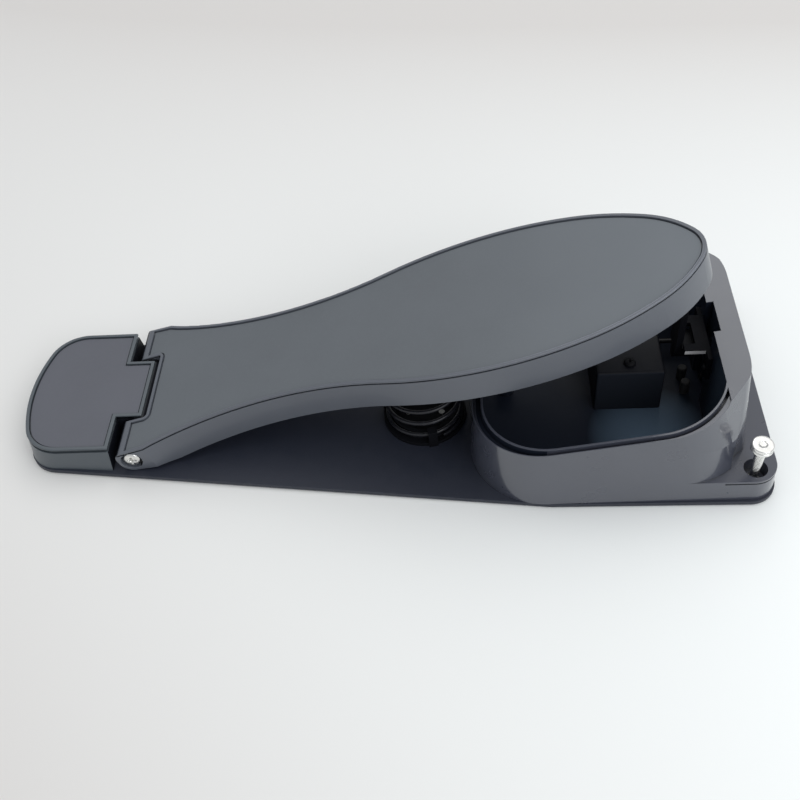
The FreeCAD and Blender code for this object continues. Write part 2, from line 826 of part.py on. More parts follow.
def board_profile():
    """Side view of the footboard, drawn in s and n, as a solid across the whole width."""
    run = skirt_rise_end
    past_toe = board_reach + 5
    points = [(-ear_radius, 0), (-ear_radius, board_top - ear_top_radius),
              (-ear_radius + ear_top_radius, board_top), (past_toe, board_top),
              (past_toe, skirt_bottom), (run, skirt_bottom)]
    vectors = [Vector(s, -beyond, n) for s, n in points]
    bend = ear_top_radius * (1 - math.sqrt(0.5))
    corner = Vector(-ear_radius + bend, -beyond, board_top - bend)
    reach = math.hypot(run, skirt_bottom)
    toward = math.atan2(skirt_bottom, run)
    touch_angle = toward - math.acos(ear_radius / reach)
    touch = Vector(ear_radius * math.cos(touch_angle), -beyond, ear_radius * math.sin(touch_angle))
    middle_angle = (math.pi + touch_angle + 2 * math.pi) / 2
    middle = Vector(ear_radius * math.cos(middle_angle), -beyond, ear_radius * math.sin(middle_angle))
    edges = [Part.makeLine(vectors[0], vectors[1]),
             Part.Arc(vectors[1], corner, vectors[2]).toShape(),
             Part.makeLine(vectors[2], vectors[3]),
             Part.makeLine(vectors[3], vectors[4]),
             Part.makeLine(vectors[4], vectors[5]),
             Part.makeLine(vectors[5], touch),
             Part.Arc(touch, middle, vectors[0]).toShape()]
    return Part.Face(Part.Wire(edges)).extrude(Vector(0, 2 * beyond, 0))


def seat_radius():
    return spring_radius + wire_radius + cup_clearance + seat_margin


def hook_station():
    return board_station(wall_inner - hook_from_wall - hook_thickness, board_under)


def board_ribs():
    """Long ribs and cross ribs under the top, clipped to the inside of the board."""
    top = board_under + 0.5
    bars = []
    last = board_reach - rib_end_clearance
    for side in (-1, 1):
        y0 = side * rib_half_spacing - rib_thickness / 2
        bars.append(box(ear_block_length - 1, last, y0, y0 + rib_thickness, rib_bottom, top))
    count = int((last - ear_block_length) / cross_rib_pitch)
    for k in range(1, count + 1):
        s = ear_block_length + k * cross_rib_pitch
        bars.append(box(s, s + rib_thickness, -beyond, beyond, cross_rib_bottom, top))
    ribs = bars[0].fuse(bars[1:])
    seat_room = from_board(upright(seat_radius() + 0.6, spring_x, spring_offset, 0, beyond))
    hook_room = box(hook_station() - hook_plate_length - 2, board_reach, -hook_half_width - 3,
                    hook_half_width + 3, rib_bottom - 6, top)
    return ribs.cut([seat_room, hook_room])


def make_footboard():
    groove_top = board_top - shadow_line_drop
    rear = -ear_radius - 1
    body = board_slab(0, rear, skirt_bottom - 1, groove_top - shadow_line_height)
    neck = board_slab(shadow_line_depth, rear, groove_top - shadow_line_height, groove_top)
    rim = board_slab(0, rear, groove_top, board_top)
    rim = rim.makeFillet(board_edge_radius, [e for e in rim.Edges if e.BoundBox.ZMin > board_top - 1e-4])
    shape = body.fuse([neck, rim]).common(board_profile())
    cavity = board_slab(board_wall, rear, skirt_bottom - 2, board_under)
    cavity = cavity.common(box(ear_block_length, board_reach, -beyond, beyond, skirt_bottom - 2, board_top))
    rib_field = board_slab(board_wall - 0.5, rear, skirt_bottom, board_under + 0.4)
    ribs = board_ribs().common(rib_field)
    shape = shape.cut(cavity.cut(ribs))
    shape = shape.cut(board_slab(grip_inset, -ear_radius + ear_top_radius + grip_inset,
                                 board_top - grip_recess, board_top + 1))
    for side in (-1, 1):
        outside = side * (ear_half_width + 1)
        shape = shape.cut(along_y(bush_radius + pin_fit, 0, 0, side * (notch_half_width - 1), outside))
        recess_radius = hinge_head_radius + hinge_head_clearance
        shape = shape.cut(along_y(recess_radius, 0, 0, side * bush_end(), outside))
    for s in hook_screw_stations():
        shape = shape.cut(upright(small_screw_radius + screw_fit, s, 0, board_under - 1,
                                  board_top - grip_recess - 0.4))
    return to_board(shape.removeSplitter())


def make_footboard_pad():
    floor = board_top - grip_recess
    rear = -ear_radius + ear_top_radius + grip_inset + grip_gap
    return to_board(board_slab(grip_inset + grip_gap, rear, floor, floor + grip_thickness))


# Spring and its seats


def spring_foot():
    return plate_top + cup_floor + spring_seat_gap + wire_radius


def spring_top_height():
    """Underside of the upper seat: level, and clear of the board's skin on its low side."""
    low_side = board_point(board_station(spring_x - spring_radius - 3, board_under),
                           board_under)
    return low_side[1] - 2.0


def spring_head():
    return spring_top_height() - spring_seat_gap - wire_radius


def spring_rise():
    """Quarter turns of the spring with the rise of each, closed at both ends."""
    height = spring_head() - spring_foot()
    end_quarters = round(spring_end_turns * 4)
    end_rise = spring_end_pitch / 4
    middle_height = height - 2 * end_quarters * end_rise
    middle_quarters = max(2 * round(middle_height / spring_pitch * 2), 4)
    ends = [end_rise] * end_quarters
    return ends + [middle_height / middle_quarters] * middle_quarters + ends


def spring_points():
    """Points and headings at every quarter turn, with the slope eased between quarters."""
    rises = spring_rise()
    z = spring_foot()
    heights = [z]
    for rise in rises:
        z += rise
        heights.append(z)
    result = []
    quarter = math.pi / 2 * spring_radius
    for k, height in enumerate(heights):
        before = rises[max(k - 1, 0)]
        after = rises[min(k, len(rises) - 1)]
        lift = (before + after) / 2 / quarter
        a = math.radians(spring_start_angle) + k * math.pi / 2
        point = Vector(spring_radius * math.cos(a), spring_radius * math.sin(a), height)
        point = point.add(Vector(spring_x, spring_offset, 0))
        heading = Vector(-math.sin(a), math.cos(a), lift).normalize()
        result.append((point, heading))
    return result


def arc_between(start, control, end):
    """The arc that leaves start towards the control point and reaches end, away from it."""
    chord_middle = start.add(end).multiply(0.5)
    reach = control.sub(start).Length
    half_chord = end.sub(start).Length / 2
    depth = chord_middle.sub(control).Length
    radius = reach * half_chord / depth
    to_centre = chord_middle.sub(control).normalize()
    through = control.add(to_centre.multiply(math.hypot(reach, radius) - radius))
    return Part.Arc(start, through, end)


def biarc(start, heading, end, heading_end):
    """Two tangent arcs from one point and heading to the next."""
    v = end.sub(start)
    t = heading.add(heading_end)
    spread = 2 * (1 - heading.dot(heading_end))
    reach = (-v.dot(t) + math.sqrt(v.dot(t) ** 2 + spread * v.dot(v))) / spread
    first = start.add(Vector(heading).multiply(reach))
    second = end.sub(Vector(heading_end).multiply(reach))
    middle = first.add(second).multiply(0.5)
    return [arc_between(start, first, middle), arc_between(middle, second, end)]


def make_return_spring():
    stations = spring_points()
    arcs = []
    for (p, u), (q, v) in zip(stations, stations[1:]):
        arcs += biarc(p, u, q, v)
    path = Part.Wire([arc.toShape() for arc in arcs])
    start, heading = stations[0]
    section = Part.Wire(Part.makeCircle(wire_radius, start, heading))
    spring = path.makePipeShell([section], True, False)
    print_spring_gap(arcs)
    return spring


def print_spring_gap(arcs):
    """Prints the least gap of the wire to itself and its tightest bend."""
    points = []
    for arc in arcs:
        for k in range(12):
            u = arc.FirstParameter + (arc.LastParameter - arc.FirstParameter) * k / 12
            points.append(arc.value(u))
    half_turn = 24 * 2
    least = 1e9
    for i, p in enumerate(points):
        for q in points[i + half_turn:]:
            least = min(least, p.distanceToPoint(q))
    tightest = min(arc.toShape().Curve.Radius for arc in arcs)
    print("return_spring least gap to itself", round(least - 2 * wire_radius, 3),
          "tightest bend", round(tightest, 2), "wire radius", wire_radius)


def make_spring_cup():
    """Lower seat: a disc with an inner collar and three claws that hold the lowest coil."""
    inner = spring_radius - wire_radius - cup_clearance
    outer = cup_radius - cup_disc_margin
    disc = upright(cup_radius, spring_x, spring_offset, plate_top, plate_top + cup_floor)
    collar = upright(inner, spring_x, spring_offset, plate_top, plate_top + cup_floor + cup_rim_height)
    hole = upright(inner - 2.0, spring_x, spring_offset, plate_top + cup_floor, plate_top + 20)
    cup = disc.fuse(collar).cut(hole)
    for angle in claw_angles:
        low = claw_coil_height(angle) + wire_radius + claw_gap
        high = low + claw_lip
        half = claw_width / 2
        post = box(outer, outer + claw_thickness, -half, half, plate_top, high)
        hook = box(outer - claw_reach, outer + claw_thickness, -half, half, low, high)
        claw = post.fuse(hook)
        claw.rotate(Vector(0, 0, 0), Vector(0, 0, 1), angle)
        claw.translate(Vector(spring_x, spring_offset, 0))
        cup = cup.fuse(claw)
    for x, y in spring_cup_screw_spots():
        cup = cup.cut(upright(screw_radius + screw_fit, x, y, 0, 20))
    return cup.removeSplitter()


def claw_coil_height(angle):
    """Height of the middle of the lowest coil where it passes a claw."""
    turn = ((angle - spring_start_angle) % 360) / 90
    rises = spring_rise()
    whole = int(turn)
    return spring_foot() + sum(rises[:whole]) + rises[whole] * (turn - whole)


def make_spring_cup_screws():
    return group([countersunk_screw(x, y, cup_floor - 0.1) for x, y in spring_cup_screw_spots()])


def make_spring_top_seat():
    """Upper seat: a wedge under the board whose lower face is level at rest."""
    low = spring_top_height()
    body = upright(seat_radius(), spring_x, spring_offset, low, beyond)
    inner = spring_radius - wire_radius - cup_clearance
    spigot = upright(inner, spring_x, spring_offset, low - cup_rim_height, low + 1)
    spigot = spigot.cut(upright(inner - 2.0, spring_x, spring_offset, low - cup_rim_height - 1, low))
    above = to_board(box(-beyond, 2 * beyond, -beyond, beyond, board_under, 2 * beyond))
    return body.cut(above).fuse(spigot).removeSplitter()


# Toe housing


def make_toe_housing():
    outer = housing_loft(plate_top, front_height() + 12)
    flange = Part.makeLoft([rounded_wire(*flange_points(plate_top), plate_top),
                            rounded_wire(*flange_points(flange_height), flange_height)], True, True)
    shape = outer.fuse(flange.cut(flange_line()))
    shape = shape.cut(above_rim(0))
    shape = shape.cut(shoulder_cut())
    shape = shape.cut(corner_trim())
    shape = shape.cut(housing_cavity())
    shape = shape.fuse(housing_inner_blocks())
    shape = shape.cut(housing_cuts())
    return shape.removeSplitter()


def flange_line():
    """A narrow groove round the flange, just under its top."""
    high = flange_height - flange_line_drop
    low = high - flange_line_height
    points, radii = flange_points(low)
    inner = polygon_slab(inset_polygon(points, flange_line_depth),
                         inset_radii(points, radii, flange_line_depth), low - 1, high + 1)
    return box(front_face - flange_line_back, flange_edge + 10, -beyond, beyond, low, high).cut(inner)


def above_rim(drop):
    """Everything above the sloping rim, less a drop."""
    x0 = housing_rear - 20
    x1 = flange_edge + 20
    points = [Vector(x0, -beyond, rim_z(x0) - drop), Vector(x1, -beyond, rim_z(x1) - drop),
              Vector(x1, -beyond, beyond), Vector(x0, -beyond, beyond)]
    return Part.Face(Part.makePolygon(points + points[:1])).extrude(Vector(0, 2 * beyond, 0))


def rear_shelf():
    return rear_wall_thickness - lip_width


def shoulder_cut():
    """The outer part of the rim lies lower than its inner lip, except on the front wall."""
    side = housing_wall - lip_width
    top = front_height() + 5
    lip = well_loft(plate_top - 1, top + 1, [side, side, side, rear_shelf()])
    shelf = well_loft(plate_top, top, [-1.6] * 4).cut(lip).common(above_rim(lip_height))
    line = well_loft(plate_top, top, [rim_edge_width] * 4).cut(lip)
    line = line.common(above_rim(lip_height + lip_line_depth))
    return shelf.fuse(line).common(box(-beyond, wall_inner, -beyond, beyond, 0, beyond))


def corner_trim():
    """Planes the outer corners at the toe so that they follow the well near the rim."""
    rear = front_face - 2 * housing_front_radius_rim
    wires = []
    for k, depth in enumerate(trim_depths):
        front = front_face + housing_draft * (rim_height - front_height() + depth) + trim_margin
        knee = front - trim_side_steps[k]
        halves = [housing_half_width + housing_draft * (rim_height - rim_z(x) + depth) + trim_margin
                  for x in (rear, knee, front)]
        inner = halves[2] - trim_front_steps[k]
        points = [(rear, -halves[0]), (knee, -halves[1]), (front, -inner), (front, inner),
                  (knee, halves[1]), (rear, halves[0])]
        radii = [0, trim_side_radii[k], trim_front_radii[k], trim_front_radii[k], trim_side_radii[k], 0]
        wires.append(rounded_wire(points, radii, -depth))
    core = Part.makeLoft(wires, True, True)
    block = box(rear + 1, front_face + 5, -housing_half_width - 6, housing_half_width + 6,
                -trim_depths[1] + 0.01, -trim_depths[0] - 0.01)
    lean_up = FreeCAD.Matrix(1, 0, 0, 0, 0, 1, 0, 0, rim_slope, 0, 1, rim_z(0), 0, 0, 0, 1)
    return block.cut(core).transformGeometry(lean_up)


def housing_cavity():
    insets = [housing_wall, housing_wall, housing_wall, rear_wall_thickness]
    cavity = well_loft(floor_top, front_height() + 5, insets)
    return cavity.common(box(-beyond, wall_inner, -beyond, beyond, floor_top, beyond))


def bumper_spots():
    x = wall_inner - hook_from_wall + hook_foot_length / 2 + 1.0
    return [(x, -bumper_half_spacing), (x, bumper_half_spacing)]


def bumper_top():
    """Just under the hook's foot when the board is pressed right down."""
    foot_front = wall_inner - hook_from_wall + hook_foot_length
    return turned(foot_front, hook_foot_bottom(), press_angle)[1] - stop_gap


def turned(x, z, degrees):
    """Where a point of the board's body goes when the board is pressed by an angle."""
    a = math.radians(degrees)
    dx = x - hinge_x
    dz = z - hinge_height
    return (hinge_x + dx * math.cos(a) + dz * math.sin(a),
            hinge_height + dz * math.cos(a) - dx * math.sin(a))


def cover_x():
    return (wall_inner - cover_from_wall - cover_length, wall_inner - cover_from_wall)


def post_spots():
    x0, x1 = cover_x()
    return [((x0 + x1) / 2, y) for y in post_positions]


def cover_top():
    return floor_top + cover_height


def housing_inner_blocks():
    """Posts that stand on the housing floor, and bosses for the screws from below."""
    blocks = []
    for x, y in post_spots():
        blocks.append(upright(post_foot_radius, x, y, floor_top - 1, floor_top + board_lift))
        blocks.append(upright(post_radius, x, y, floor_top - 1, cover_top() - cover_wall))
    for x, y in housing_screws():
        blocks.append(upright(boss_radius, x, y, floor_top - 1, floor_top + plate_screw_length - 1))
    return group(blocks)


def sensor_bay():
    """Hollow of the front wall, open at the bottom and closed by the base plate."""
    x0 = wall_inner + channel_depth + channel_wall
    x1 = front_face - shell_thickness
    top = rim_z(x0) - bay_roof
    return box(x0, x1, -sensor_bay_half_width, sensor_bay_half_width, plate_top - 1, top)


def lever_rest():
    """Middle height of the sensor lever at rest, just under the hook's foot."""
    return hook_foot_bottom() - lever_grip_clearance - lever_height / 2


def lever_reach():
    """X from the hinge axis to the middle of the lever's engaged length."""
    return wall_inner - hook_from_wall + tine_length / 2 + 1 - hinge_x


def lever_travel():
    return lever_reach() * math.sin(math.radians(press_angle))


def housing_cuts():
    cuts = [sensor_bay()]
    cuts.append(box(wall_inner - 1, wall_inner + channel_depth, -channel_half_width, channel_half_width,
                    floor_top, beyond))
    low = lever_rest() - lever_travel() - lever_height / 2 - slot_side_clearance
    high = lever_rest() + lever_height / 2 + slot_side_clearance
    cuts.append(box(wall_inner, sensor_bay().BoundBox.XMin + 1, -lever_half_thickness - slot_side_clearance,
                    lever_half_thickness + slot_side_clearance, low, high))
    for side in (-1, 1):
        y = side * bolt_half_spacing
        cuts.append(upright(scoop_radius, bolt_x, y, flange_height, beyond))
        cuts.append(upright(bolt_pocket_radius, bolt_x, y, plate_top + nut_height + 0.8, beyond))
        cuts.append(upright(bolt_radius + 0.6, bolt_x, y, 0, flange_height))
        cuts.append(hexagon(nut_across_flats + 2 * nut_pocket_clearance, bolt_x, y, plate_top - 1,
                            nut_height + 1 + nut_pocket_clearance))
    for x, y in housing_screws():
        cuts.append(upright(screw_radius + screw_fit, x, y, 0, plate_screw_hole_top))
    for x, y in post_spots():
        cuts.append(upright(screw_radius + screw_fit, x, y, cover_top() - cover_wall - 10, cover_top()))
    for x, y in bumper_spots():
        cuts.append(upright(bumper_stem_radius + screw_fit, x, y, 0, floor_top + 1))
    for y in (-ledge_screw_offset(), ledge_screw_offset()):
        cuts.append(along_x(small_screw_radius + screw_fit, wall_inner - 1,
                            wall_inner + channel_depth + channel_wall - 0.6, y, ledge_screw_height()))
    bay_wall = wall_inner + channel_depth + channel_wall
    for y, z in sensor_screw_spots():
        cuts.append(along_x(small_screw_radius + screw_fit, wall_inner, bay_wall + sensor_screw_bite, y, z))
    room = lead_radius + 0.8
    cuts.append(box(wall_inner - 1, sensor_bay().BoundBox.XMin + 1,
                    lead_offset - lead_bend_radius / 2 - room, lead_offset + room,
                    lead_height() - room, lead_height() + room))
    x, z = socket_axis()
    outer = wall_outer_at(z)
    cuts.append(along_y(socket_barrel_radius + 0.1, x, z, outer - 12, outer + 5))
    cuts.append(along_y(socket_washer_radius + socket_seat_margin, x, z, outer - socket_seat, outer + 5))
    return group(cuts)


def wall_outer_at(z):
    return housing_half_width + housing_draft * (rim_height - z)


# Stop ledge, hook and sensor


def ledge_screw_offset():
    return channel_half_width + (ledge_half_width - channel_half_width) + 2.4


def ledge_screw_height():
    return ledge_top - ledge_leg_drop / 2 - 1.5


def hook_foot_top():
    return ledge_top - ledge_thickness - stop_rubber_thickness - stop_gap


def hook_foot_bottom():
    return hook_foot_top() - hook_foot_thickness


def make_stop_bracket():
    """Bent steel: a notched ledge over the channel with two legs on the inner face."""
    x1 = wall_inner
    x0 = x1 - ledge_length
    ledge = box(x0, x1, -ledge_half_width, ledge_half_width, ledge_top - ledge_thickness, ledge_top)
    slot = box(x0 - 1, x0 + ledge_slot_depth, -hook_half_width - ledge_slot_clearance,
               hook_half_width + ledge_slot_clearance, 0, beyond)
    shape = ledge.cut(slot)
    for side in (-1, 1):
        ys = sorted((side * (channel_half_width + 0.2), side * (ledge_screw_offset() + 3)))
        leg = box(x1 - ledge_thickness, x1, ys[0], ys[1], ledge_top - ledge_leg_drop, ledge_top)
        hole = along_x(small_screw_radius + screw_fit, x1 - 5, x1 + 1,
                       side * ledge_screw_offset(), ledge_screw_height())
        shape = shape.fuse(leg.cut(hole))
    return shape.removeSplitter()


def make_stop_bracket_screws():
    screws = []
    for side in (-1, 1):
        seat = Vector(wall_inner - ledge_thickness, side * ledge_screw_offset(), ledge_screw_height())
        length = ledge_thickness + channel_depth + channel_wall - 0.8
        screws.append(small_screw(length, seat, Vector(1, 0, 0)))
    return group(screws)


def make_stop_rubber():
    x0 = wall_inner - ledge_length + ledge_slot_depth + 0.2
    top = ledge_top - ledge_thickness
    return box(x0, wall_inner - ledge_thickness - 0.2, -channel_half_width + 0.5, channel_half_width - 0.5,
               top - stop_rubber_thickness, top)


def hook_screw_stations():
    last = hook_station() - hook_screw_from_arm
    return [last - hook_screw_step, last]


def make_toe_hook():
    """Arm under the toe with a foot that catches below the ledge and a fork for the lever."""
    arm_front = wall_inner - hook_from_wall
    arm_rear = arm_front - hook_thickness
    foot_front = arm_front + hook_foot_length
    high = 150
    arm = box(arm_rear, arm_front, -hook_half_width, hook_half_width, hook_foot_bottom(), high)
    foot = box(arm_rear, foot_front, -hook_half_width, hook_half_width, hook_foot_bottom(), hook_foot_top())
    low = lever_rest() - lever_height / 2 - lever_grip_clearance
    tine_low = low - tine_thickness
    back = box(arm_rear, arm_front, -tine_half_width, tine_half_width, tine_low, hook_foot_bottom())
    tine = box(arm_rear, arm_front + tine_length, -tine_half_width, tine_half_width, tine_low, low)
    under = board_under
    s1 = hook_station()
    plate = box(s1 - hook_plate_length, s1 + hook_thickness / cos_slope, -hook_half_width, hook_half_width,
                under - hook_plate_thickness, under)
    plate = to_board(plate)
    corner_z = board_point(s1, under)[1]
    gusset_points = [board_point(s1 - hook_gusset_length, under - hook_plate_thickness / 2),
                     (arm_rear + 1, corner_z - hook_gusset_height), (arm_rear + 1, corner_z - 2)]
    corners = [Vector(x, -hook_gusset_thickness / 2, z) for x, z in gusset_points]
    gusset = Part.Face(Part.makePolygon(corners + corners[:1])).extrude(Vector(0, hook_gusset_thickness, 0))
    above = to_board(box(-beyond, 2 * beyond, -beyond, beyond, under, 2 * beyond))
    shape = arm.cut(above).fuse([foot, back, tine, plate, gusset])
    for s in hook_screw_stations():
        hole = to_board(upright(small_screw_radius + screw_fit, s, 0, under - 10, under + 1))
        shape = shape.cut(hole)
    return shape.removeSplitter()


def make_toe_hook_screws():
    screws = []
    under = board_under
    length = hook_plate_thickness + board_top_thickness - grip_recess - 0.6
    for s in hook_screw_stations():
        seat = Vector(s, 0, under - hook_plate_thickness)
        screws.append(to_board(small_screw(length, seat, Vector(0, 0, 1))))
    return group(screws)


def sensor_x():
    x0 = sensor_bay().BoundBox.XMin + sensor_gap
    return (x0, x0 + sensor_depth)


def sensor_screw_spots():
    """Y and height of the two screws, one on each side of the lever's path."""
    low = sensor_bottom + sensor_screw_inset
    high = sensor_bottom + sensor_height - sensor_screw_inset
    return [(sensor_screw_side, low), (-sensor_screw_side, high)]


def make_sensor_body():
    """Slide potentiometer: a thin case with a slot in its face and solid ends for the screws."""
    x0, x1 = sensor_x()
    top = sensor_bottom + sensor_height
    case = box(x0, x1, -sensor_half_width, sensor_half_width, sensor_bottom, top)
    low = lever_rest() - lever_travel() - lever_height / 2 - 0.4
    high = lever_rest() + lever_height / 2 + 0.4
    hollow = box(x0 + sensor_skin, x1 - sensor_skin, -sensor_half_width + sensor_skin,
                 sensor_half_width - sensor_skin, low - 0.3, high + 0.3)
    slot_half = lever_half_thickness + sensor_slot_clearance
    slot = box(x0 - 1, x0 + sensor_skin + 1, -slot_half, slot_half, low, high)
    shape = case.cut(hollow).cut(slot)
    for y, z in sensor_screw_spots():
        end = x0 + sensor_screw_bite + screw_end_room
        shape = shape.cut(along_x(small_screw_radius + screw_fit, x0 - 1, end, y, z))
    return shape


def make_sensor_screws():
    screws = []
    seat_x = wall_inner + channel_depth
    for y, z in sensor_screw_spots():
        length = channel_wall + sensor_gap + sensor_screw_bite
        screws.append(small_screw(length, Vector(seat_x, y, z), Vector(1, 0, 0)))
    return group(screws)


def make_sensor_lever():
    """The sliding lever with its carriage inside the case."""
    x0, x1 = sensor_x()
    z0 = lever_rest() - lever_height / 2
    z1 = lever_rest() + lever_height / 2
    tip = wall_inner - hook_from_wall + lever_tip_clearance
    lever = box(tip, x0 + sensor_skin + 1, -lever_half_thickness, lever_half_thickness, z0, z1)
    carriage = box(x0 + sensor_skin + carriage_clearance, x1 - sensor_skin - carriage_clearance,
                   -sensor_half_width + sensor_skin + carriage_clearance,
                   sensor_half_width - sensor_skin - carriage_clearance, z0, z1)
    return lever.fuse(carriage).removeSplitter()


# Circuit board, cover and socket


def board_bottom():
    return floor_top + board_lift


def board_top_face():
    return board_bottom() + board_thickness


def cover_far():
    return wall_outer_at(floor_top) - housing_wall - cover_far_gap - housing_draft * cover_height


def make_circuit_board():
    x0, x1 = cover_x()
    edge = cover_wall + board_edge_gap
    board = box(x0 + edge, x1 - edge, cover_near_side + edge, cover_far() - 0.4,
                board_bottom(), board_top_face())
    for x, y in post_spots():
        board = board.cut(upright(post_radius + board_hole_clearance, x, y, 0, beyond))
    return board


def make_circuit_cover():
    x0, x1 = cover_x()
    outer = box(x0, x1, cover_near_side, cover_far(), floor_top, cover_top())
    outer = outer.makeFillet(1.2, [e for e in outer.Edges if e.BoundBox.ZMin > cover_top() - 1e-4
                                   or (e.BoundBox.ZLength > 20)])
    inner = box(x0 + cover_wall, x1 - cover_wall, cover_near_side + cover_wall, cover_far() + 1,
                floor_top - 1, cover_top() - cover_wall)
    cover = outer.cut(inner)
    for x, y in post_spots():
        cover = cover.cut(upright(screw_radius + 0.1, x, y, 0, beyond))
    room = lead_radius + 0.5
    mouse_hole = box(x1 - cover_wall - 1, x1 + 1, lead_offset - room, lead_offset + room,
                     floor_top - 1, lead_height() + room)
    return cover.cut(mouse_hole)


def make_cover_screws():
    screws = []
    for x, y in post_spots():
        screws.append(pan_screw(screw_radius, screw_head_radius, screw_head_height,
                                cover_wall + cover_screw_bite, Vector(x, y, cover_top()),
                                Vector(0, 0, -1), cover_screw_drive_radius, cover_screw_drive_depth))
    return group(screws)


def socket_axis():
    """X and height of the socket's bore, with its body standing on the circuit board."""
    x0, x1 = cover_x()
    return ((x0 + x1) / 2, board_top_face() + socket_height / 2)


def make_socket_body():
    """Quarter-inch socket: a case on the board with a threaded barrel through the wall."""
    x, z = socket_axis()
    y1 = wall_outer_at(z) - housing_wall - socket_wall_gap
    y0 = y1 - socket_depth
    half = socket_height / 2
    case = box(x - socket_half_width, x + socket_half_width, y0, y1, z - half, z + half)
    end = socket_face() + socket_washer_thickness + socket_nut_height + socket_thread_end
    barrel = along_y(socket_barrel_radius, x, z, y1 - 1, end)
    bore = along_y(socket_bore_radius, x, z, y0 + socket_back, end + 1)
    return case.fuse(barrel).cut(bore).removeSplitter()


def socket_face():
    x, z = socket_axis()
    return wall_outer_at(z) - socket_seat


def make_socket_washer():
    x, z = socket_axis()
    ring = along_y(socket_washer_radius, x, z, socket_face(), socket_face() + socket_washer_thickness)
    return ring.cut(along_y(socket_barrel_radius + 0.1, x, z, 0, beyond))


def make_socket_nut():
    x, z = socket_axis()
    nut = hexagon(socket_nut_across_flats, 0, 0, 0, socket_nut_height)
    nut.rotate(Vector(0, 0, 0), Vector(1, 0, 0), -90)
    nut.translate(Vector(x, socket_face() + socket_washer_thickness, z))
    return nut.cut(along_y(socket_barrel_radius + screw_fit, x, z, 0, beyond))


def lead_height():
    return board_top_face() + 3.0


def make_lead_connector():
    """Small plug block on the board that takes the sensor lead."""
    x0, x1 = cover_x()
    end = x1 - cover_wall - board_edge_gap - 0.4
    return box(end - 6, end, lead_offset - 4.5, lead_offset + 4.5, board_top_face(), board_top_face() + 6.5)


def make_sensor_lead():
    """Lead from the side of the sensor, round one bend, through the wall to its connector."""
    z = lead_height()
    x = (sensor_x()[0] + sensor_x()[1]) / 2
    r = min(lead_bend_radius, lead_offset - sensor_half_width - 2)
    end_x = make_lead_connector().BoundBox.XMax
    start = Vector(x, sensor_half_width, z)
    bend_start = Vector(x, lead_offset - r, z)
    bend_end = Vector(x - r, lead_offset, z)
    middle = Vector(x - r + r * math.sqrt(0.5), lead_offset - r + r * math.sqrt(0.5), z)
    path = Part.Wire([Part.makeLine(start, bend_start), Part.Arc(bend_start, middle, bend_end).toShape(),
                      Part.makeLine(bend_end, Vector(end_x, lead_offset, z))])
    section = Part.Wire(Part.makeCircle(lead_radius, start, Vector(0, 1, 0)))
    lead = path.makePipeShell([section], True, False)
    expected = math.pi * lead_radius ** 2 * path.Length
    print("sensor_lead volume over section times length", round(lead.Volume / expected, 4))
    print("sensor_lead bend radius", r)
    return lead


# Bumpers, anchor bolts and nuts


def make_press_bumpers():
    bumpers = []
    for x, y in bumper_spots():
        top = bumper_top()
        cap = upright(bumper_radius, x, y, floor_top, top)
        cap = cap.makeFillet(0.8, [e for e in cap.Edges if e.BoundBox.ZMin > top - 1e-4])
        stem = upright(bumper_stem_radius, x, y, plate_top, floor_top + 0.5)
        bumpers.append(cap.fuse(stem))
    return group(bumpers)


def make_anchor_bolt(side):
    y = side * bolt_half_spacing
    drop = far_bolt_lower if side > 0 else 0.0
    seat = Vector(bolt_x, y, bolt_head_top - bolt_head_height - drop)
    tip_height = bolt_tip_height - drop
    length = seat.z - tip_height
    bolt = pan_screw(bolt_radius, bolt_head_radius, bolt_head_height, length, seat, Vector(0, 0, -1),
                     bolt_socket_radius, bolt_socket_depth)
    tip = [e for e in bolt.Edges if abs(e.BoundBox.ZMax - tip_height) < 1e-4]
    return bolt.makeChamfer(0.7, tip)


def make_anchor_nuts():
    nuts = []
    for side in (-1, 1):
        y = side * bolt_half_spacing
        nut = hexagon(nut_across_flats, bolt_x, y, plate_top, nut_height)
        nuts.append(nut.cut(upright(nut_bore_radius, bolt_x, y, 0, beyond)))
    return group(nuts)


def make_housing_screws():
    return group([countersunk_screw(x, y, plate_screw_length) for x, y in housing_screws()])


makers = {
    "base_plate": make_base_plate,
    "base_pads": make_base_pads,
    "heel_block": make_heel_block,
    "heel_pad": make_heel_pad,
    "heel_screws": make_heel_screws,
    "hinge_pin": make_hinge_pin,
    "hinge_washers": make_hinge_washers,
    "hinge_screws": make_hinge_screws,
    "hinge_bushes": make_hinge_bushes,
    "footboard": make_footboard,
    "footboard_pad": make_footboard_pad,
    "return_spring": make_return_spring,
    "spring_cup": make_spring_cup,
    "spring_cup_screws": make_spring_cup_screws,
    "spring_top_seat": make_spring_top_seat,
    "toe_housing": make_toe_housing,
    "housing_screws": make_housing_screws,
    "stop_bracket": make_stop_bracket,
    "stop_bracket_screws": make_stop_bracket_screws,
    "stop_rubber": make_stop_rubber,
    "toe_hook": make_toe_hook,
    "toe_hook_screws": make_toe_hook_screws,
    "sensor_body": make_sensor_body,
    "sensor_screws": make_sensor_screws,
    "sensor_lever": make_sensor_lever,
    "sensor_lead": make_sensor_lead,
    "lead_connector": make_lead_connector,
    "circuit_board": make_circuit_board,
    "circuit_cover": make_circuit_cover,
    "cover_screws": make_cover_screws,
    "socket_body": make_socket_body,
    "socket_washer": make_socket_washer,
    "socket_nut": make_socket_nut,
    "press_bumpers": make_press_bumpers,
    "anchor_nuts": make_anchor_nuts,
}

for name, maker in makers.items():
    save(maker(), name)
for side, place in ((-1, "near"), (1, "far")):
    save(make_anchor_bolt(side), "anchor_bolt_" + place)
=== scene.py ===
"""Looks for the hi-hat pedal: materials, small detailed pieces, floor, light and camera."""

import math

import bmesh
import bpy
from mathutils import Matrix, Vector


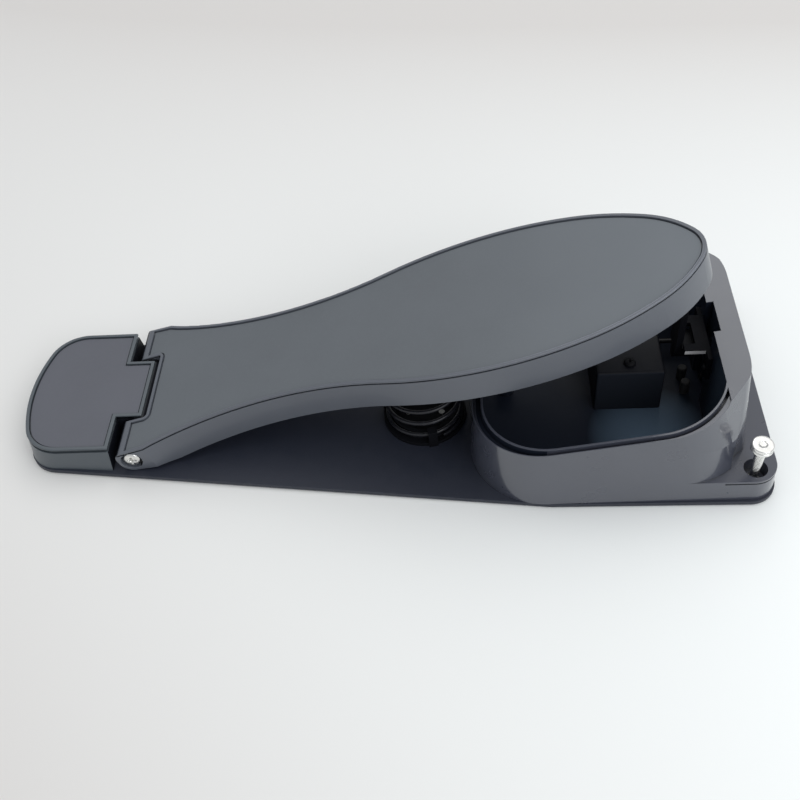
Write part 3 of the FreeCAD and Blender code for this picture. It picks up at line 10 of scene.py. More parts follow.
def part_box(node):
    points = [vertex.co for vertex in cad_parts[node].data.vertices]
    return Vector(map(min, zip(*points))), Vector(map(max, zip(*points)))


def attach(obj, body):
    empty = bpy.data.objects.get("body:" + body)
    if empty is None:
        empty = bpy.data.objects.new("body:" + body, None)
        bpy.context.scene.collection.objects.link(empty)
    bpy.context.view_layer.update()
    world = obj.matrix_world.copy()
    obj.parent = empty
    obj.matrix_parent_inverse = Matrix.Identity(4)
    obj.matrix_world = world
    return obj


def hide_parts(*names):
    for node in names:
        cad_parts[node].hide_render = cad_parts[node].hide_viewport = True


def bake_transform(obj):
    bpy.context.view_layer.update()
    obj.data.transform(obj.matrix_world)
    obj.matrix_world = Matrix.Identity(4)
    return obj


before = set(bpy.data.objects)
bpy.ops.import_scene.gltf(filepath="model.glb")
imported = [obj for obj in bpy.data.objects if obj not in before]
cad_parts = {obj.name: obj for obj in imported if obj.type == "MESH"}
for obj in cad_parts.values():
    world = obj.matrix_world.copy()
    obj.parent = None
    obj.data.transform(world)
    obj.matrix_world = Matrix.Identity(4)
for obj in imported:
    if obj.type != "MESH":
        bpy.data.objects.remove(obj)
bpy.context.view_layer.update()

# Metres in a millimetre. Sizes are in millimetres unless a comment says metres.
MM = 0.001

# Camera: place in metres, angles in radians, lens and sensor width in millimetres
CAMERA_PLACE = (0.04347, -0.32323, 0.37028)
CAMERA_YAW = -0.11022
CAMERA_PITCH = 0.84953
CAMERA_ROLL = -0.11566
CAMERA_LENS = 45.0
CAMERA_SENSOR = 36.0

# Lamps: name, place and size in metres, power in watts, colour
LAMPS = (
    ("ceiling", (0.45, 0.4, 1.6), (3.6, 2.6), 21.0, (1.0, 0.99, 0.97)),
    ("back_window", (0.17, 1.45, 1.6), (0.6, 0.6), 1.0, (0.97, 1.0, 1.0)),
    ("window", (0.9, -1.0, 0.9), (1.0, 0.8), 6.5, (0.96, 0.98, 1.0)),
)
LAMP_TARGET = (0.1, 0.0, 0.0)
WORLD_COLOUR = (0.93, 0.96, 1.0, 1.0)
WORLD_STRENGTH = 0.56

# Floor: width in metres, squares along a side, and its painted light, a tone at the pedal from
# 0, dull, to 1, bright, and the tone's change with the place in millimetres
FLOOR_WIDTH = 6.0
FLOOR_SQUARES = 24
FLOOR_TONE = 0.63
FLOOR_DRIFT_X = 0.00156
FLOOR_DRIFT_XY = 0.0000055
FLOOR_DRIFT_YY = 0.0000048

# Well of the toe housing, whose inside gets painted shade: its middle, half sizes and corner
# radii to the outside of its lip, the lean of its walls, the front corners' growth with
# height, and the lip's thickness
WELL_MIDDLE_X = 98.58
WELL_HALF_LENGTH = 55.4
WELL_HALF_WIDTH = 64.8
WELL_LEAN = 0.04
WELL_REAR_RADIUS = 33.0
WELL_FRONT_RADIUS = 28.0
WELL_FRONT_GROWTH = 0.15
WELL_FRONT_X = 98.0
WELL_FLOOR_Z = 14.7
WELL_LIP = 1.9

# Rim of the housing: a point on it, its slope, and the band below it where the painted shade
# starts
RIM_X = 75.98
RIM_Z = 37.3
RIM_SLOPE = 0.169
RIM_BAND = (0.2, 0.6)

# Upright channel in the housing's front wall
CHANNEL_X = (140.0, 153.7)
CHANNEL_HALF_WIDTH = 10.0

# Painted sheen on the well's floor, a pale patch: its middle and its half sizes
PATCH_MIDDLE = (124.0, -32.0)
PATCH_HALF = (26.0, 30.0)

# Other places that the materials know
FLANGE_TOP = 16.0
# Where the painted shade at the heel block and at the hinge starts
BOARD_REAR_X = -97.0
HEEL_FRONT_X = -127.6
HINGE_SHADE_Z = (15.3, 14.6)
# The near side's span in Y of the painted rim highlight
HIGHLIGHT_Y = (0.0, -14.0)
# Bounds of the bracket's painted highlight
BRACKET_LEG = 2.2
BRACKET_END = 8.0

# How far the normals of the faces that a mask picks lean up, to the rear or to the near side
UPWARD = 0.6
REARWARD = -0.6
NEARWARD = -0.8
CUT_NEARWARD = -0.7

# Moulded plastic: size and depth of its grain, radius of its edges, reach of the scuffed band
# and of the painted highlight along them, how pale they get
PLASTIC_GRAIN = 0.35
PLASTIC_GRAIN_DEPTH = 0.02
PLASTIC_EDGE = 0.4
PLASTIC_SCUFF_REACH = 0.64
PLASTIC_HIGHLIGHT_REACH = 1.36
PLASTIC_WEAR = 1.35
PLASTIC_HIGHLIGHT = 2.6

# Screws: head radius and height, shank radius and length, turn of the recess in degrees
HINGE_SCREW = (4.3, 2.4, 1.9, 9.5, 22.0)
COVER_SCREW = (2.8, 2.0, 1.2, 8.0, 35.0)
# Their pan head's radius and height, then their cross recess's reach, half width, floor and
# taper, as shares of the head's radius and height
SCREW_DOME = ((0.97, 0.0), (1.0, 0.12), (1.0, 0.42), (0.93, 0.68), (0.8, 0.86), (0.6, 0.97),
              (0.3, 1.0))
SCREW_RECESS = (0.56, 0.13, 0.42, 0.62)
# A cutting tool stands this far out of the face that it cuts
TOOL_EXCESS = 0.5

# Anchor bolt: radius and height of its tip, from the point, and of its neck and head, from
# the head's underside; the thread's turns and the radius at its crests, which grows upwards
BOLT_TIP = ((0.35, 0.0), (0.9, 1.6), (1.62, 4.0))
BOLT_HEAD = (
    (2.42, -2.6), (2.42, -0.35), (2.75, -0.02), (4.6, 0.0), (4.78, 0.18), (4.78, 1.1),
    (4.62, 1.3), (4.35, 1.42), (4.35, 1.58), (4.62, 1.7), (4.78, 1.86), (4.78, 2.72),
    (4.62, 3.02), (4.3, 3.22), (3.9, 3.29), (2.6, 3.3),
)
BOLT_TURNS = 18
BOLT_THREAD_RADIUS = 1.7
BOLT_THREAD_GROWTH = 0.68
BOLT_THREAD_DEPTH = 0.2
BOLT_TWIST = 17.0
BOLT_SOCKET_WIDTH = 3.0
BOLT_SOCKET_HEIGHTS = (3.1, 3.8)
BOLT_SOCKET_TAPER = 0.94

# Return spring: wire radius, coil radius, turns in all and in each closed end, rise per turn
# of an end, start angle in degrees, share of the wire's radius left beyond its centre where
# the ends are ground flat, steps of a turn and sides of the wire
SPRING_WIRE = 0.95
SPRING_RADIUS = 17.6
SPRING_TURNS = 6.0
SPRING_END_TURNS = 0.75
SPRING_END_PITCH = 2.5
SPRING_START = -60.0
SPRING_GROUND = 0.45
SPRING_STEPS = 56
SPRING_SIDES = 14


def srgb(red, green, blue):
    """A colour given as 0 to 255 screen values, as the linear numbers the shaders use."""
    values = []
    for channel in (red, green, blue):
        c = channel / 255
        values.append(c / 12.92 if c <= 0.04045 else ((c + 0.055) / 1.055) ** 2.4)
    return tuple(values) + (1.0,)


def shade(colour, factor):
    return tuple(c * factor for c in colour[:3]) + (1.0,)


BOARD_GREY = srgb(88, 92, 100)
# Painted shade on the board's faces at the gap to the heel block
BOARD_GAP_SHADE = srgb(20, 22, 29)
# The heel block's grey: the board's plastic set darker as painted shade for the weaker light
# at the left
HEEL_SHADED_GREY = srgb(75, 82, 88)
# Painted shade on the heel block's faces towards the hinge
HINGE_GAP_SHADE = srgb(22, 24, 31)
BOARD_PAD_GREY = srgb(94, 99, 104)
HEEL_PAD_GREY = srgb(88, 90, 98)
HOUSING_GREY = srgb(65, 68, 79)
# Painted shade inside the well of the toe housing
WELL_SHADE = srgb(28, 33, 44)
# Painted sheen, a paler patch on the well's floor
WELL_SHEEN = srgb(92, 111, 130)
COVER_BLACK = srgb(15, 17, 24)
# Painted sheen on the circuit cover's near face
COVER_SIDE_SHEEN = srgb(38, 42, 50)
NYLON_BLACK = srgb(13, 14, 19)
LACQUER_BLACK = srgb(14, 15, 19)
PLATE_BLACK = srgb(36, 40, 52)
BRACKET_BLACK = srgb(12, 13, 18)
# Painted highlight on the bracket's near cut end
BRACKET_HIGHLIGHT = (0.6, 0.6, 0.6, 1.0)
WIRE_BLACK = srgb(26, 27, 33)
SOCKET_BLACK = srgb(20, 20, 22)
JACKET_BLACK = srgb(18, 18, 21)
RUBBER_BLACK = (0.02, 0.02, 0.021, 1.0)
ZINC_TINT = (0.62, 0.62, 0.6, 1.0)
NICKEL_TINT = (0.86, 0.85, 0.82, 1.0)
TIN_TINT = (0.5, 0.51, 0.52, 1.0)
BOARD_GREENS = {"Color1": (0.01, 0.10, 0.04, 1.0), "Color2": (0.012, 0.13, 0.05, 1.0),
                "Mortar": (0.03, 0.22, 0.08, 1.0)}
# Painted light on the floor: duller far and left, brighter to the right
FLOOR_DULL = srgb(220, 217, 214)
FLOOR_BRIGHT = srgb(251, 254, 253)


# Materials


class Nodes:
    """Short calls for building one material's node tree."""

    def __init__(self, name):
        self.material = bpy.data.materials.new(name)
        self.material.use_nodes = True
        self.tree = self.material.node_tree
        self.shader = self.tree.nodes["Principled BSDF"]

    def add(self, kind, **values):
        node = self.tree.nodes.new(kind)
        for key, value in values.items():
            setattr(node, key, value)
        return node

    def link(self, source, target):
        self.tree.links.new(source, target)

    def place(self):
        """Position in the object's own frame, in millimetres."""
        coordinates = self.add("ShaderNodeTexCoord")
        scale = self.add("ShaderNodeVectorMath", operation="SCALE")
        scale.inputs["Scale"].default_value = 1000.0
        self.link(coordinates.outputs["Object"], scale.inputs[0])
        return scale.outputs[0]

    def split(self, vector):
        """The x, y and z of a vector."""
        node = self.add("ShaderNodeSeparateXYZ")
        self.link(vector, node.inputs[0])
        return node.outputs

    def facing(self):
        """The x, y and z of the face's normal."""
        return self.split(self.add("ShaderNodeNewGeometry").outputs["Normal"])

    def noise(self, size, detail, roughness=0.55, stretch=None):
        """Noise whose features are about size millimetres across."""
        node = self.add("ShaderNodeTexNoise")
        node.inputs["Scale"].default_value = 1.0 / size
        node.inputs["Detail"].default_value = detail
        node.inputs["Roughness"].default_value = roughness
        place = self.place()
        if stretch:
            squeeze = self.add("ShaderNodeVectorMath", operation="MULTIPLY")
            squeeze.inputs[1].default_value = stretch
            self.link(place, squeeze.inputs[0])
            place = squeeze.outputs[0]
        self.link(place, node.inputs["Vector"])
        return node.outputs["Fac"]

    def pebbles(self, size):
        """Rounded cells about size millimetres across."""
        node = self.add("ShaderNodeTexVoronoi", feature="SMOOTH_F1")
        node.inputs["Scale"].default_value = 1.0 / size
        self.link(self.place(), node.inputs["Vector"])
        return node.outputs["Distance"]

    def remap(self, value, low, high, to_low=0.0, to_high=1.0):
        """The value's range from low to high, stretched to another range and held in it."""
        node = self.add("ShaderNodeMapRange")
        for index, number in zip((1, 2, 3, 4), (low, high, to_low, to_high)):
            node.inputs[index].default_value = number
        self.link(value, node.inputs[0])
        return node.outputs[0]

    def patches(self, size, detail, low, high, to_low=0.0, to_high=1.0):
        """Noise between two of its levels, as a smooth mask or another range."""
        return self.remap(self.noise(size, detail), low, high, to_low, to_high)

    def math(self, operation, first, second=0.0):
        node = self.add("ShaderNodeMath", operation=operation)
        for index, value in enumerate((first, second)):
            if isinstance(value, (int, float)):
                node.inputs[index].default_value = value
            else:
                self.link(value, node.inputs[index])
        return node.outputs[0]

    def plus(self, first, second):
        return self.math("ADD", first, second)

    def minus(self, first, second):
        return self.math("SUBTRACT", first, second)

    def times(self, first, second):
        return self.math("MULTIPLY", first, second)

    def over(self, value, limit):
        """1 above a limit, 0 below it."""
        return self.math("GREATER_THAN", value, limit)

    def under(self, value, limit):
        """1 below a limit, 0 above it."""
        return self.math("LESS_THAN", value, limit)

    def mix(self, factor, first, second):
        """Blend of two colours, each a colour or a socket."""
        node = self.add("ShaderNodeMix", data_type="RGBA")
        # Inputs 6 and 7 are the node's two colours, output 2 is its colour
        for index, value in ((6, first), (7, second)):
            if isinstance(value, tuple):
                node.inputs[index].default_value = value
            else:
                self.link(value, node.inputs[index])
        self.link(factor, node.inputs[0])
        return node.outputs[2]

    def soft_edges(self, radius):
        """Normals that round every edge by a radius in millimetres."""
        node = self.add("ShaderNodeBevel", samples=6)
        node.inputs["Radius"].default_value = radius * MM
        return node.outputs[0]

    def edge_mask(self, radius):
        """0 on open faces, up to 1 along edges within a radius in millimetres."""
        geometry = self.add("ShaderNodeNewGeometry")
        dot = self.add("ShaderNodeVectorMath", operation="DOT_PRODUCT")
        self.link(self.soft_edges(radius), dot.inputs[0])
        self.link(geometry.outputs["Normal"], dot.inputs[1])
        return self.remap(dot.outputs["Value"], 0.995, 0.8)

    def crevice(self, reach):
        """1 in the open, towards 0 in gaps narrower than reach millimetres."""
        node = self.add("ShaderNodeAmbientOcclusion", samples=8, only_local=True)
        node.inputs["Distance"].default_value = reach * MM
        return self.remap(node.outputs["AO"], 0.35, 0.85)

    def bump(self, height, strength, depth, edge=None):
        """Normals for a relief of a depth in millimetres, over edges rounded by a radius."""
        node = self.add("ShaderNodeBump")
        node.inputs["Strength"].default_value = strength
        node.inputs["Distance"].default_value = depth * MM
        self.link(height, node.inputs["Height"])
        if edge:
            self.link(self.soft_edges(edge), node.inputs["Normal"])
        return node.outputs[0]

    def set(self, **values):
        for key, value in values.items():
            socket = self.shader.inputs[key.replace("_", " ")]
            if isinstance(value, (int, float, tuple)):
                socket.default_value = value
            else:
                self.link(value, socket)
        return self.material


def inside_well(n):
    """1 on the floor and inner walls of the toe housing, 0 outside and on the rim: where the
    housing gets painted shade.
    """
    x, y, z = n.split(n.place())
    lean = n.times(n.minus(RIM_Z, z), WELL_LEAN)
    growth = n.times(n.minus(z, WELL_FLOOR_Z), WELL_FRONT_GROWTH)
    front_radius = n.plus(growth, WELL_FRONT_RADIUS)
    change = n.times(n.over(x, WELL_FRONT_X), n.minus(front_radius, WELL_REAR_RADIUS))
    radius = n.plus(change, WELL_REAR_RADIUS)

    squares = []
    for place, half in ((n.minus(x, WELL_MIDDLE_X), WELL_HALF_LENGTH), (y, WELL_HALF_WIDTH)):
        beyond = n.minus(n.math("ABSOLUTE", place), n.plus(lean, half))
        beyond = n.math("MAXIMUM", n.plus(beyond, radius))
        squares.append(n.math("POWER", beyond, 2.0))
    reach = n.minus(n.math("SQRT", n.plus(*squares)), radius)
    within = n.under(reach, -WELL_LIP)

    channel = n.times(n.over(x, CHANNEL_X[0]), n.under(x, CHANNEL_X[1]))
    channel = n.times(channel, n.under(n.math("ABSOLUTE", y), CHANNEL_HALF_WIDTH))
    rim = n.plus(n.times(n.minus(x, RIM_X), RIM_SLOPE), RIM_Z)
    below = n.remap(n.minus(rim, z), *RIM_BAND)
    return n.times(n.math("MAXIMUM", within, channel), below)


def well_tone(n):
    """Near-black painted shade, with a paler painted sheen at the near middle of the well's
    floor.
    """
    place = n.split(n.place())
    squares = []
    for value, middle, half in zip(place, PATCH_MIDDLE, PATCH_HALF):
        share = n.times(n.minus(value, middle), 1 / half)
        squares.append(n.times(share, share))
    return n.mix(n.remap(n.plus(*squares), 0.0, 1.2, 1.0, 0.0), WELL_SHADE, WELL_SHEEN)


def near_face(n):
    """1 on faces that look towards the near side, where the cover gets a paler painted sheen.
    """
    return n.under(n.facing()[1], NEARWARD)


def flange_height(n):
    """0 on the top of the bolt flange, 1 elsewhere."""
    level = n.over(n.facing()[2], UPWARD)
    low = n.under(n.split(n.place())[2], FLANGE_TOP)
    return n.minus(1.0, n.times(level, low))


def board_gap(n):
    """1 on the faces of the board that look at the heel block, painted dark as painted shade.
    """
    behind = n.under(n.split(n.place())[0], BOARD_REAR_X)
    return n.times(behind, n.under(n.facing()[0], REARWARD))


def hinge_gap(n):
    """1 on the faces of the heel block that look at the hinge, painted dark as painted shade.
    """
    x, _, z = n.split(n.place())
    return n.times(n.over(x, HEEL_FRONT_X), n.remap(z, *HINGE_SHADE_Z))


def cut_end(n):
    """1 on the near cut end of the bracket's upper leg, where a painted highlight goes."""
    low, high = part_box("stop_bracket")
    x, y, z = n.split(n.place())
    upper = n.over(z, high.z / MM - BRACKET_LEG)
    outer = n.under(x, high.x / MM - BRACKET_LEG)
    end = n.under(y, low.y / MM + BRACKET_END)
    place = n.times(n.times(upper, outer), end)
    return n.times(n.under(n.facing()[1], CUT_NEARWARD), place)


def rim_highlight(n, along):
    """Up to 1 on the upper edges of the near side, growing between two places along X: where
    the painted highlight goes.
    """
    x, y, _ = n.split(n.place())
    share = n.times(n.remap(x, *along), n.remap(y, *HIGHLIGHT_Y))
    share = n.times(share, n.over(n.facing()[2], UPWARD))
    return n.times(n.edge_mask(PLASTIC_HIGHLIGHT_REACH), share)


def moulded_plastic(name, colour, roughness, gloss=0.0, gap_shade=0.0, painted_mask=None, painted_tone=None,
                    shine=0.5, highlight_span=None, dull=None):
    """Moulded plastic with a fine grain, a faint drift of colour and edges rubbed paler.

    gloss is a clear coat's weight, shine the plastic's own, and the gap reach that of the
    painted shade darkening gaps. Two masks: one takes its own tone, painted shade in the gaps
    and the well and a painted sheen on the cover's near face, and dull loses its gloss.
    """
    n = Nodes(name)
    drift = n.patches(size=28.0, detail=2.0, low=0.3, high=0.7)
    body = n.mix(drift, shade(colour, 0.94), shade(colour, 1.06))
    speck = n.patches(size=0.6, detail=2.0, low=0.35, high=0.65)
    body = n.mix(speck, body, colour)
    scuff = n.patches(size=3.5, detail=4.0, low=0.35, high=0.7, to_low=0.15)
    scuff = n.times(n.edge_mask(PLASTIC_SCUFF_REACH), scuff)
    body = n.mix(scuff, body, shade(colour, PLASTIC_WEAR))
    # Painted highlight along the upper near rim edges
    if highlight_span:
        body = n.mix(rim_highlight(n, highlight_span), body, shade(colour, PLASTIC_HIGHLIGHT))
    uneven = n.patches(size=14.0, detail=3.0, low=0.3, high=0.7, to_low=-0.04, to_high=0.04)
    rough = n.plus(uneven, roughness)
    # The mask's faces take its own tone: painted shade, or on the cover a painted sheen
    if painted_mask:
        inside = painted_mask(n)
        body = n.mix(inside, body, painted_tone(n) if callable(painted_tone) else painted_tone)
        rough = n.plus(rough, n.times(inside, 0.12))
        gloss = n.remap(inside, 0.0, 1.0, gloss, 0.0)
        shine = n.remap(inside, 0.0, 1.0, shine, 0.1)
    if dull:
        gloss = n.times(n.remap(dull(n), 0.0, 1.0, 0.25, 1.0), gloss)
    # Painted shade: gaps narrower than the reach are darkened
    if gap_shade:
        body = n.mix(n.crevice(gap_shade), shade(colour, 0.12), body)
    fine = n.noise(size=PLASTIC_GRAIN, detail=2.0, roughness=0.6)
    normal = n.bump(fine, strength=0.35, depth=PLASTIC_GRAIN_DEPTH, edge=PLASTIC_EDGE)
    n.set(Coat_Weight=gloss, Coat_Roughness=0.1, Specular_IOR_Level=shine)
    return n.set(Base_Color=body, Roughness=rough, Normal=normal)


def grip_sheet(name, colour, roughness, highlight_span=None):
    """Thin sheet with a fine pebble, and a painted highlight that makes it paler between two
    places along X.
    """
    n = Nodes(name)
    drift = n.patches(size=45.0, detail=3.0, low=0.3, high=0.7)
    body = n.mix(drift, shade(colour, 0.96), shade(colour, 1.05))
    dust = n.patches(size=1.4, detail=4.0, low=0.45, high=0.75, to_high=0.35)
    body = n.mix(dust, body, shade(colour, 1.12))
    # Painted highlight: paler towards the toe
    if highlight_span:
        x = n.split(n.place())[0]
        body = n.mix(n.remap(x, *highlight_span), body, shade(colour, 1.3))
    uneven = n.patches(size=30.0, detail=3.0, low=0.3, high=0.7, to_low=-0.05, to_high=0.05)
    rough = n.plus(uneven, roughness)
    height = n.plus(n.pebbles(size=0.75), n.times(n.noise(size=0.3, detail=2.0), 0.4))
    normal = n.bump(height, strength=0.25, depth=0.05, edge=0.25)
    return n.set(Base_Color=body, Roughness=rough, Normal=normal)


def powder_coat(name, colour, roughness, highlight_tone=None, shine=0.5):
    """Sheet steel under a fine orange-peel powder coat, with a painted highlight on its cut
    end if asked.
    """
    n = Nodes(name)
    speck = n.patches(size=0.35, detail=2.0, low=0.55, high=0.7)
    body = n.mix(speck, colour, shade(colour, 1.6))
    chip = n.patches(size=2.2, detail=4.0, low=0.5, high=0.75, to_high=0.5)
    body = n.mix(n.times(n.edge_mask(0.6), chip), body, shade(colour, 3.0))
    # Painted highlight on the cut end
    if highlight_tone:
        body = n.mix(cut_end(n), body, highlight_tone)
    rough = n.patches(size=6.0, detail=3.0, low=0.3, high=0.7,
                      to_low=roughness - 0.05, to_high=roughness + 0.05)
    peel = n.noise(size=0.9, detail=3.0, roughness=0.6)
    normal = n.bump(peel, strength=0.6, depth=0.06, edge=0.3)
    n.set(Specular_IOR_Level=shine)
    return n.set(Base_Color=body, Roughness=rough, Normal=normal)


def plated_steel(name, colour, roughness, grain=(1.0, 1.0, 1.0)):
    """Bright plating with faint hairlines and dull spots."""
    n = Nodes(name)
    cloud = n.patches(size=2.5, detail=4.0, low=0.35, high=0.65)
    body = n.mix(cloud, shade(colour, 0.9), colour)
    spots = n.noise(size=1.2, detail=4.0, roughness=0.6, stretch=grain)
    rough = n.remap(spots, 0.3, 0.75, roughness - 0.05, roughness + 0.12)
    lines = n.noise(size=0.25, detail=2.0, roughness=0.5, stretch=grain)
    normal = n.bump(lines, strength=0.12, depth=0.02, edge=0.18)
    return n.set(Base_Color=body, Roughness=rough, Normal=normal, Metallic=1.0)


def rubber(name, colour):
    n = Nodes(name)
    bloom = n.patches(size=5.0, detail=4.0, low=0.35, high=0.7)
    body = n.mix(bloom, colour, shade(colour, 1.5))
    normal = n.bump(n.noise(size=0.5, detail=3.0), strength=0.4, depth=0.06, edge=0.3)
    return n.set(Base_Color=body, Roughness=0.75, Normal=normal)


def coated_wire(name, colour, roughness):
    """Lacquered spring wire with thin spots that show paler."""
    n = Nodes(name)
    thin = n.patches(size=2.0, detail=4.0, low=0.55, high=0.75, to_high=0.5)
    body = n.mix(thin, colour, shade(colour, 3.0))
    rough = n.patches(size=1.0, detail=3.0, low=0.3, high=0.7,
                      to_low=roughness - 0.08, to_high=roughness + 0.1)
    normal = n.bump(n.noise(size=0.3, detail=2.0), strength=0.15, depth=0.02)
    return n.set(Base_Color=body, Roughness=rough, Normal=normal)


def circuit_mask(name):
    """Green board with copper tracks under its mask."""
    n = Nodes(name)
    tracks = n.add("ShaderNodeTexBrick")
    tracks.inputs["Scale"].default_value = 0.35
    tracks.inputs["Mortar Size"].default_value = 0.03
    for socket, colour in BOARD_GREENS.items():
        tracks.inputs[socket].default_value = colour
    n.link(n.place(), tracks.inputs["Vector"])
    normal = n.bump(tracks.outputs["Fac"], strength=0.3, depth=0.03, edge=0.15)
    return n.set(Base_Color=tracks.outputs["Color"], Roughness=0.3, Normal=normal)


def jacket(name, colour):
    """Soft sleeve of a lead."""
    n = Nodes(name)
    wear = n.patches(size=1.5, detail=3.0, low=0.4, high=0.7)
    body = n.mix(wear, colour, shade(colour, 1.3))
    normal = n.bump(n.noise(size=0.4, detail=2.0), strength=0.2, depth=0.03)
    return n.set(Base_Color=body, Roughness=0.45, Normal=normal)


MATERIALS = {
    "board": moulded_plastic("board_moulded", BOARD_GREY, 0.38, gloss=0.25, gap_shade=1.0,
                             painted_mask=board_gap, painted_tone=BOARD_GAP_SHADE, highlight_span=(20.0, 110.0)),
    "heel": moulded_plastic("heel_moulded", HEEL_SHADED_GREY, 0.38, gloss=0.25, gap_shade=1.2,
                            painted_mask=hinge_gap, painted_tone=HINGE_GAP_SHADE),
    "housing": moulded_plastic("housing_moulded", HOUSING_GREY, 0.3, gloss=1.0, gap_shade=1.4,
                               painted_mask=inside_well, painted_tone=well_tone, dull=flange_height),
    "inner": moulded_plastic("black_moulded", COVER_BLACK, 0.55, shine=0.2,
                             painted_mask=near_face, painted_tone=COVER_SIDE_SHEEN),
    "nylon": moulded_plastic("black_nylon", NYLON_BLACK, 0.6, shine=0.15),
    "board_pad": grip_sheet("board_grip", BOARD_PAD_GREY, 0.55, highlight_span=(30.0, 130.0)),
    "heel_pad": grip_sheet("heel_grip", HEEL_PAD_GREY, 0.55),
    "plate": powder_coat("plate_powder_coat", PLATE_BLACK, 0.5),
    "zinc": plated_steel("zinc_plate", ZINC_TINT, 0.32),
    "lacquer": moulded_plastic("black_lacquer", LACQUER_BLACK, 0.6, shine=0.15),
    "nickel": plated_steel("nickel_plate", NICKEL_TINT, 0.2),
    "case": plated_steel("tinned_case", TIN_TINT, 0.38, grain=(1.0, 1.0, 6.0)),
    "bracket": powder_coat("bracket_black", BRACKET_BLACK, 0.6, highlight_tone=BRACKET_HIGHLIGHT, shine=0.1),
    "rubber": rubber("black_rubber", RUBBER_BLACK),
    "wire": coated_wire("spring_lacquer", WIRE_BLACK, 0.32),
    "circuit": circuit_mask("circuit_mask"),
    "socket": moulded_plastic("socket_black", SOCKET_BLACK, 0.3),
    "jacket": jacket("lead_jacket", JACKET_BLACK),
}

FINISHES = {
    "plate": ("base_plate",),
    "board": ("footboard",),
    "board_pad": ("footboard_pad",),
    "heel": ("heel_block",),
    "heel_pad": ("heel_pad",),
    "housing": ("toe_housing",),
    "inner": ("circuit_cover",),
    "nylon": ("hinge_bushes", "spring_cup", "spring_top_seat", "toe_hook", "sensor_lever",
              "lead_connector"),
    "rubber": ("base_pads", "stop_rubber", "press_bumpers"),
    "zinc": ("heel_screws", "hinge_pin", "hinge_washers", "spring_cup_screws",
             "housing_screws", "cover_screws", "anchor_nuts"),
    "lacquer": ("stop_bracket_screws", "toe_hook_screws", "sensor_screws"),
    "nickel": ("hinge_screws", "socket_washer", "socket_nut", "anchor_bolt_near",
               "anchor_bolt_far"),
    "wire": ("return_spring",),
    "bracket": ("stop_bracket",),
    "case": ("sensor_body",),
    "circuit": ("circuit_board",),
    "socket": ("socket_body",),
    "jacket": ("sensor_lead",),
}


def dress_nodes():
    """Gives every CAD node its finish."""
    for finish, nodes in FINISHES.items():
        for node in nodes:
            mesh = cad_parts[node].data
            mesh.materials.clear()
            mesh.materials.append(MATERIALS[finish])


# Small detailed pieces


def ring_skin(rings):
    """Quads between rings of equal count, and a flat cap on each end."""
    count = len(rings[0])
    vertices = [v for ring in rings for v in ring]
    faces = []
    for k in range(len(rings) - 1):
        low, high = k * count, (k + 1) * count
        for i in range(count):
            j = (i + 1) % count
            faces.append((low + i, low + j, high + j, high + i))
    faces.append(tuple(range(count)))
    faces.append(tuple(range(len(vertices) - count, len(vertices))))
    return vertices, faces


def new_piece(name, rings, material, smooth_angle=35.0):
    """An object skinned over rings, with edges sharper than an angle in degrees kept sharp."""
    vertices, faces = ring_skin(rings)
    mesh = bpy.data.meshes.new(name)
    mesh.from_pydata([tuple(v) for v in vertices], [], faces)
    build = bmesh.new()
    build.from_mesh(mesh)
    bmesh.ops.remove_doubles(build, verts=build.verts, dist=1e-7)
    bmesh.ops.recalc_face_normals(build, faces=build.faces)
    build.to_mesh(mesh)
    build.free()
    mesh.materials.append(material)
    mesh.shade_smooth()
    mesh.set_sharp_from_angle(angle=math.radians(smooth_angle))
    return link_object(name, mesh)


def link_object(name, data):
    thing = bpy.data.objects.new(name, data)
    bpy.context.scene.collection.objects.link(thing)
    return thing


def lathe(profile, segments=48):
    """Rings round Z for a profile of radius and height in millimetres."""
    rings = []
    for radius, height in profile:
        ring = []
        for i in range(segments):
            angle = 2 * math.pi * i / segments
            ring.append(Vector((radius * math.cos(angle) * MM, radius * math.sin(angle) * MM,
                                height * MM)))
        rings.append(ring)
    return rings


def prism(outline, low, high, low_scale):
    """Rings of a tapered prism, scaled at its low end."""
    return [[Vector((x * scale * MM, y * scale * MM, z * MM)) for x, y in outline]
            for z, scale in ((low, low_scale), (high, 1.0))]


def cross_outline(reach, width):
    """Outline of a cross driver recess."""
    quarter = [(reach, -width), (reach, width), (width, width)]
    outline = []
    for k in range(4):
        cos, sin = math.cos(math.pi / 2 * k), math.sin(math.pi / 2 * k)
        outline += [(x * cos - y * sin, x * sin + y * cos) for x, y in quarter]
    return outline


def hexagon_outline(across_flats):
    reach = across_flats / math.sqrt(3)
    angles = [math.pi / 3 * k for k in range(6)]
    return [(reach * math.cos(a), reach * math.sin(a)) for a in angles]


def carve(piece, rings):
    """Cuts a tapered recess out of a piece."""
    tool = new_piece(piece.name + "_tool", rings, piece.data.materials[0])
    cut = piece.modifiers.new("recess", "BOOLEAN")
    cut.operation = "DIFFERENCE"
    cut.solver = "EXACT"
    cut.object = tool
    bpy.context.view_layer.update()
    graph = bpy.context.evaluated_depsgraph_get()
    done = bpy.data.meshes.new_from_object(piece.evaluated_get(graph))
    piece.modifiers.clear()
    piece.data = done
    bpy.data.objects.remove(tool)


def twist(piece, degrees):
    piece.data.transform(Matrix.Rotation(math.radians(degrees), 4, "Z"))


def turn_towards(piece, place, direction):
    """Puts a piece made round +Z at a place in metres, pointing along a direction."""
    turn = Vector(direction).to_track_quat("Z", "Y").to_matrix().to_4x4()
    piece.data.transform(Matrix.Translation(Vector(place)) @ turn)


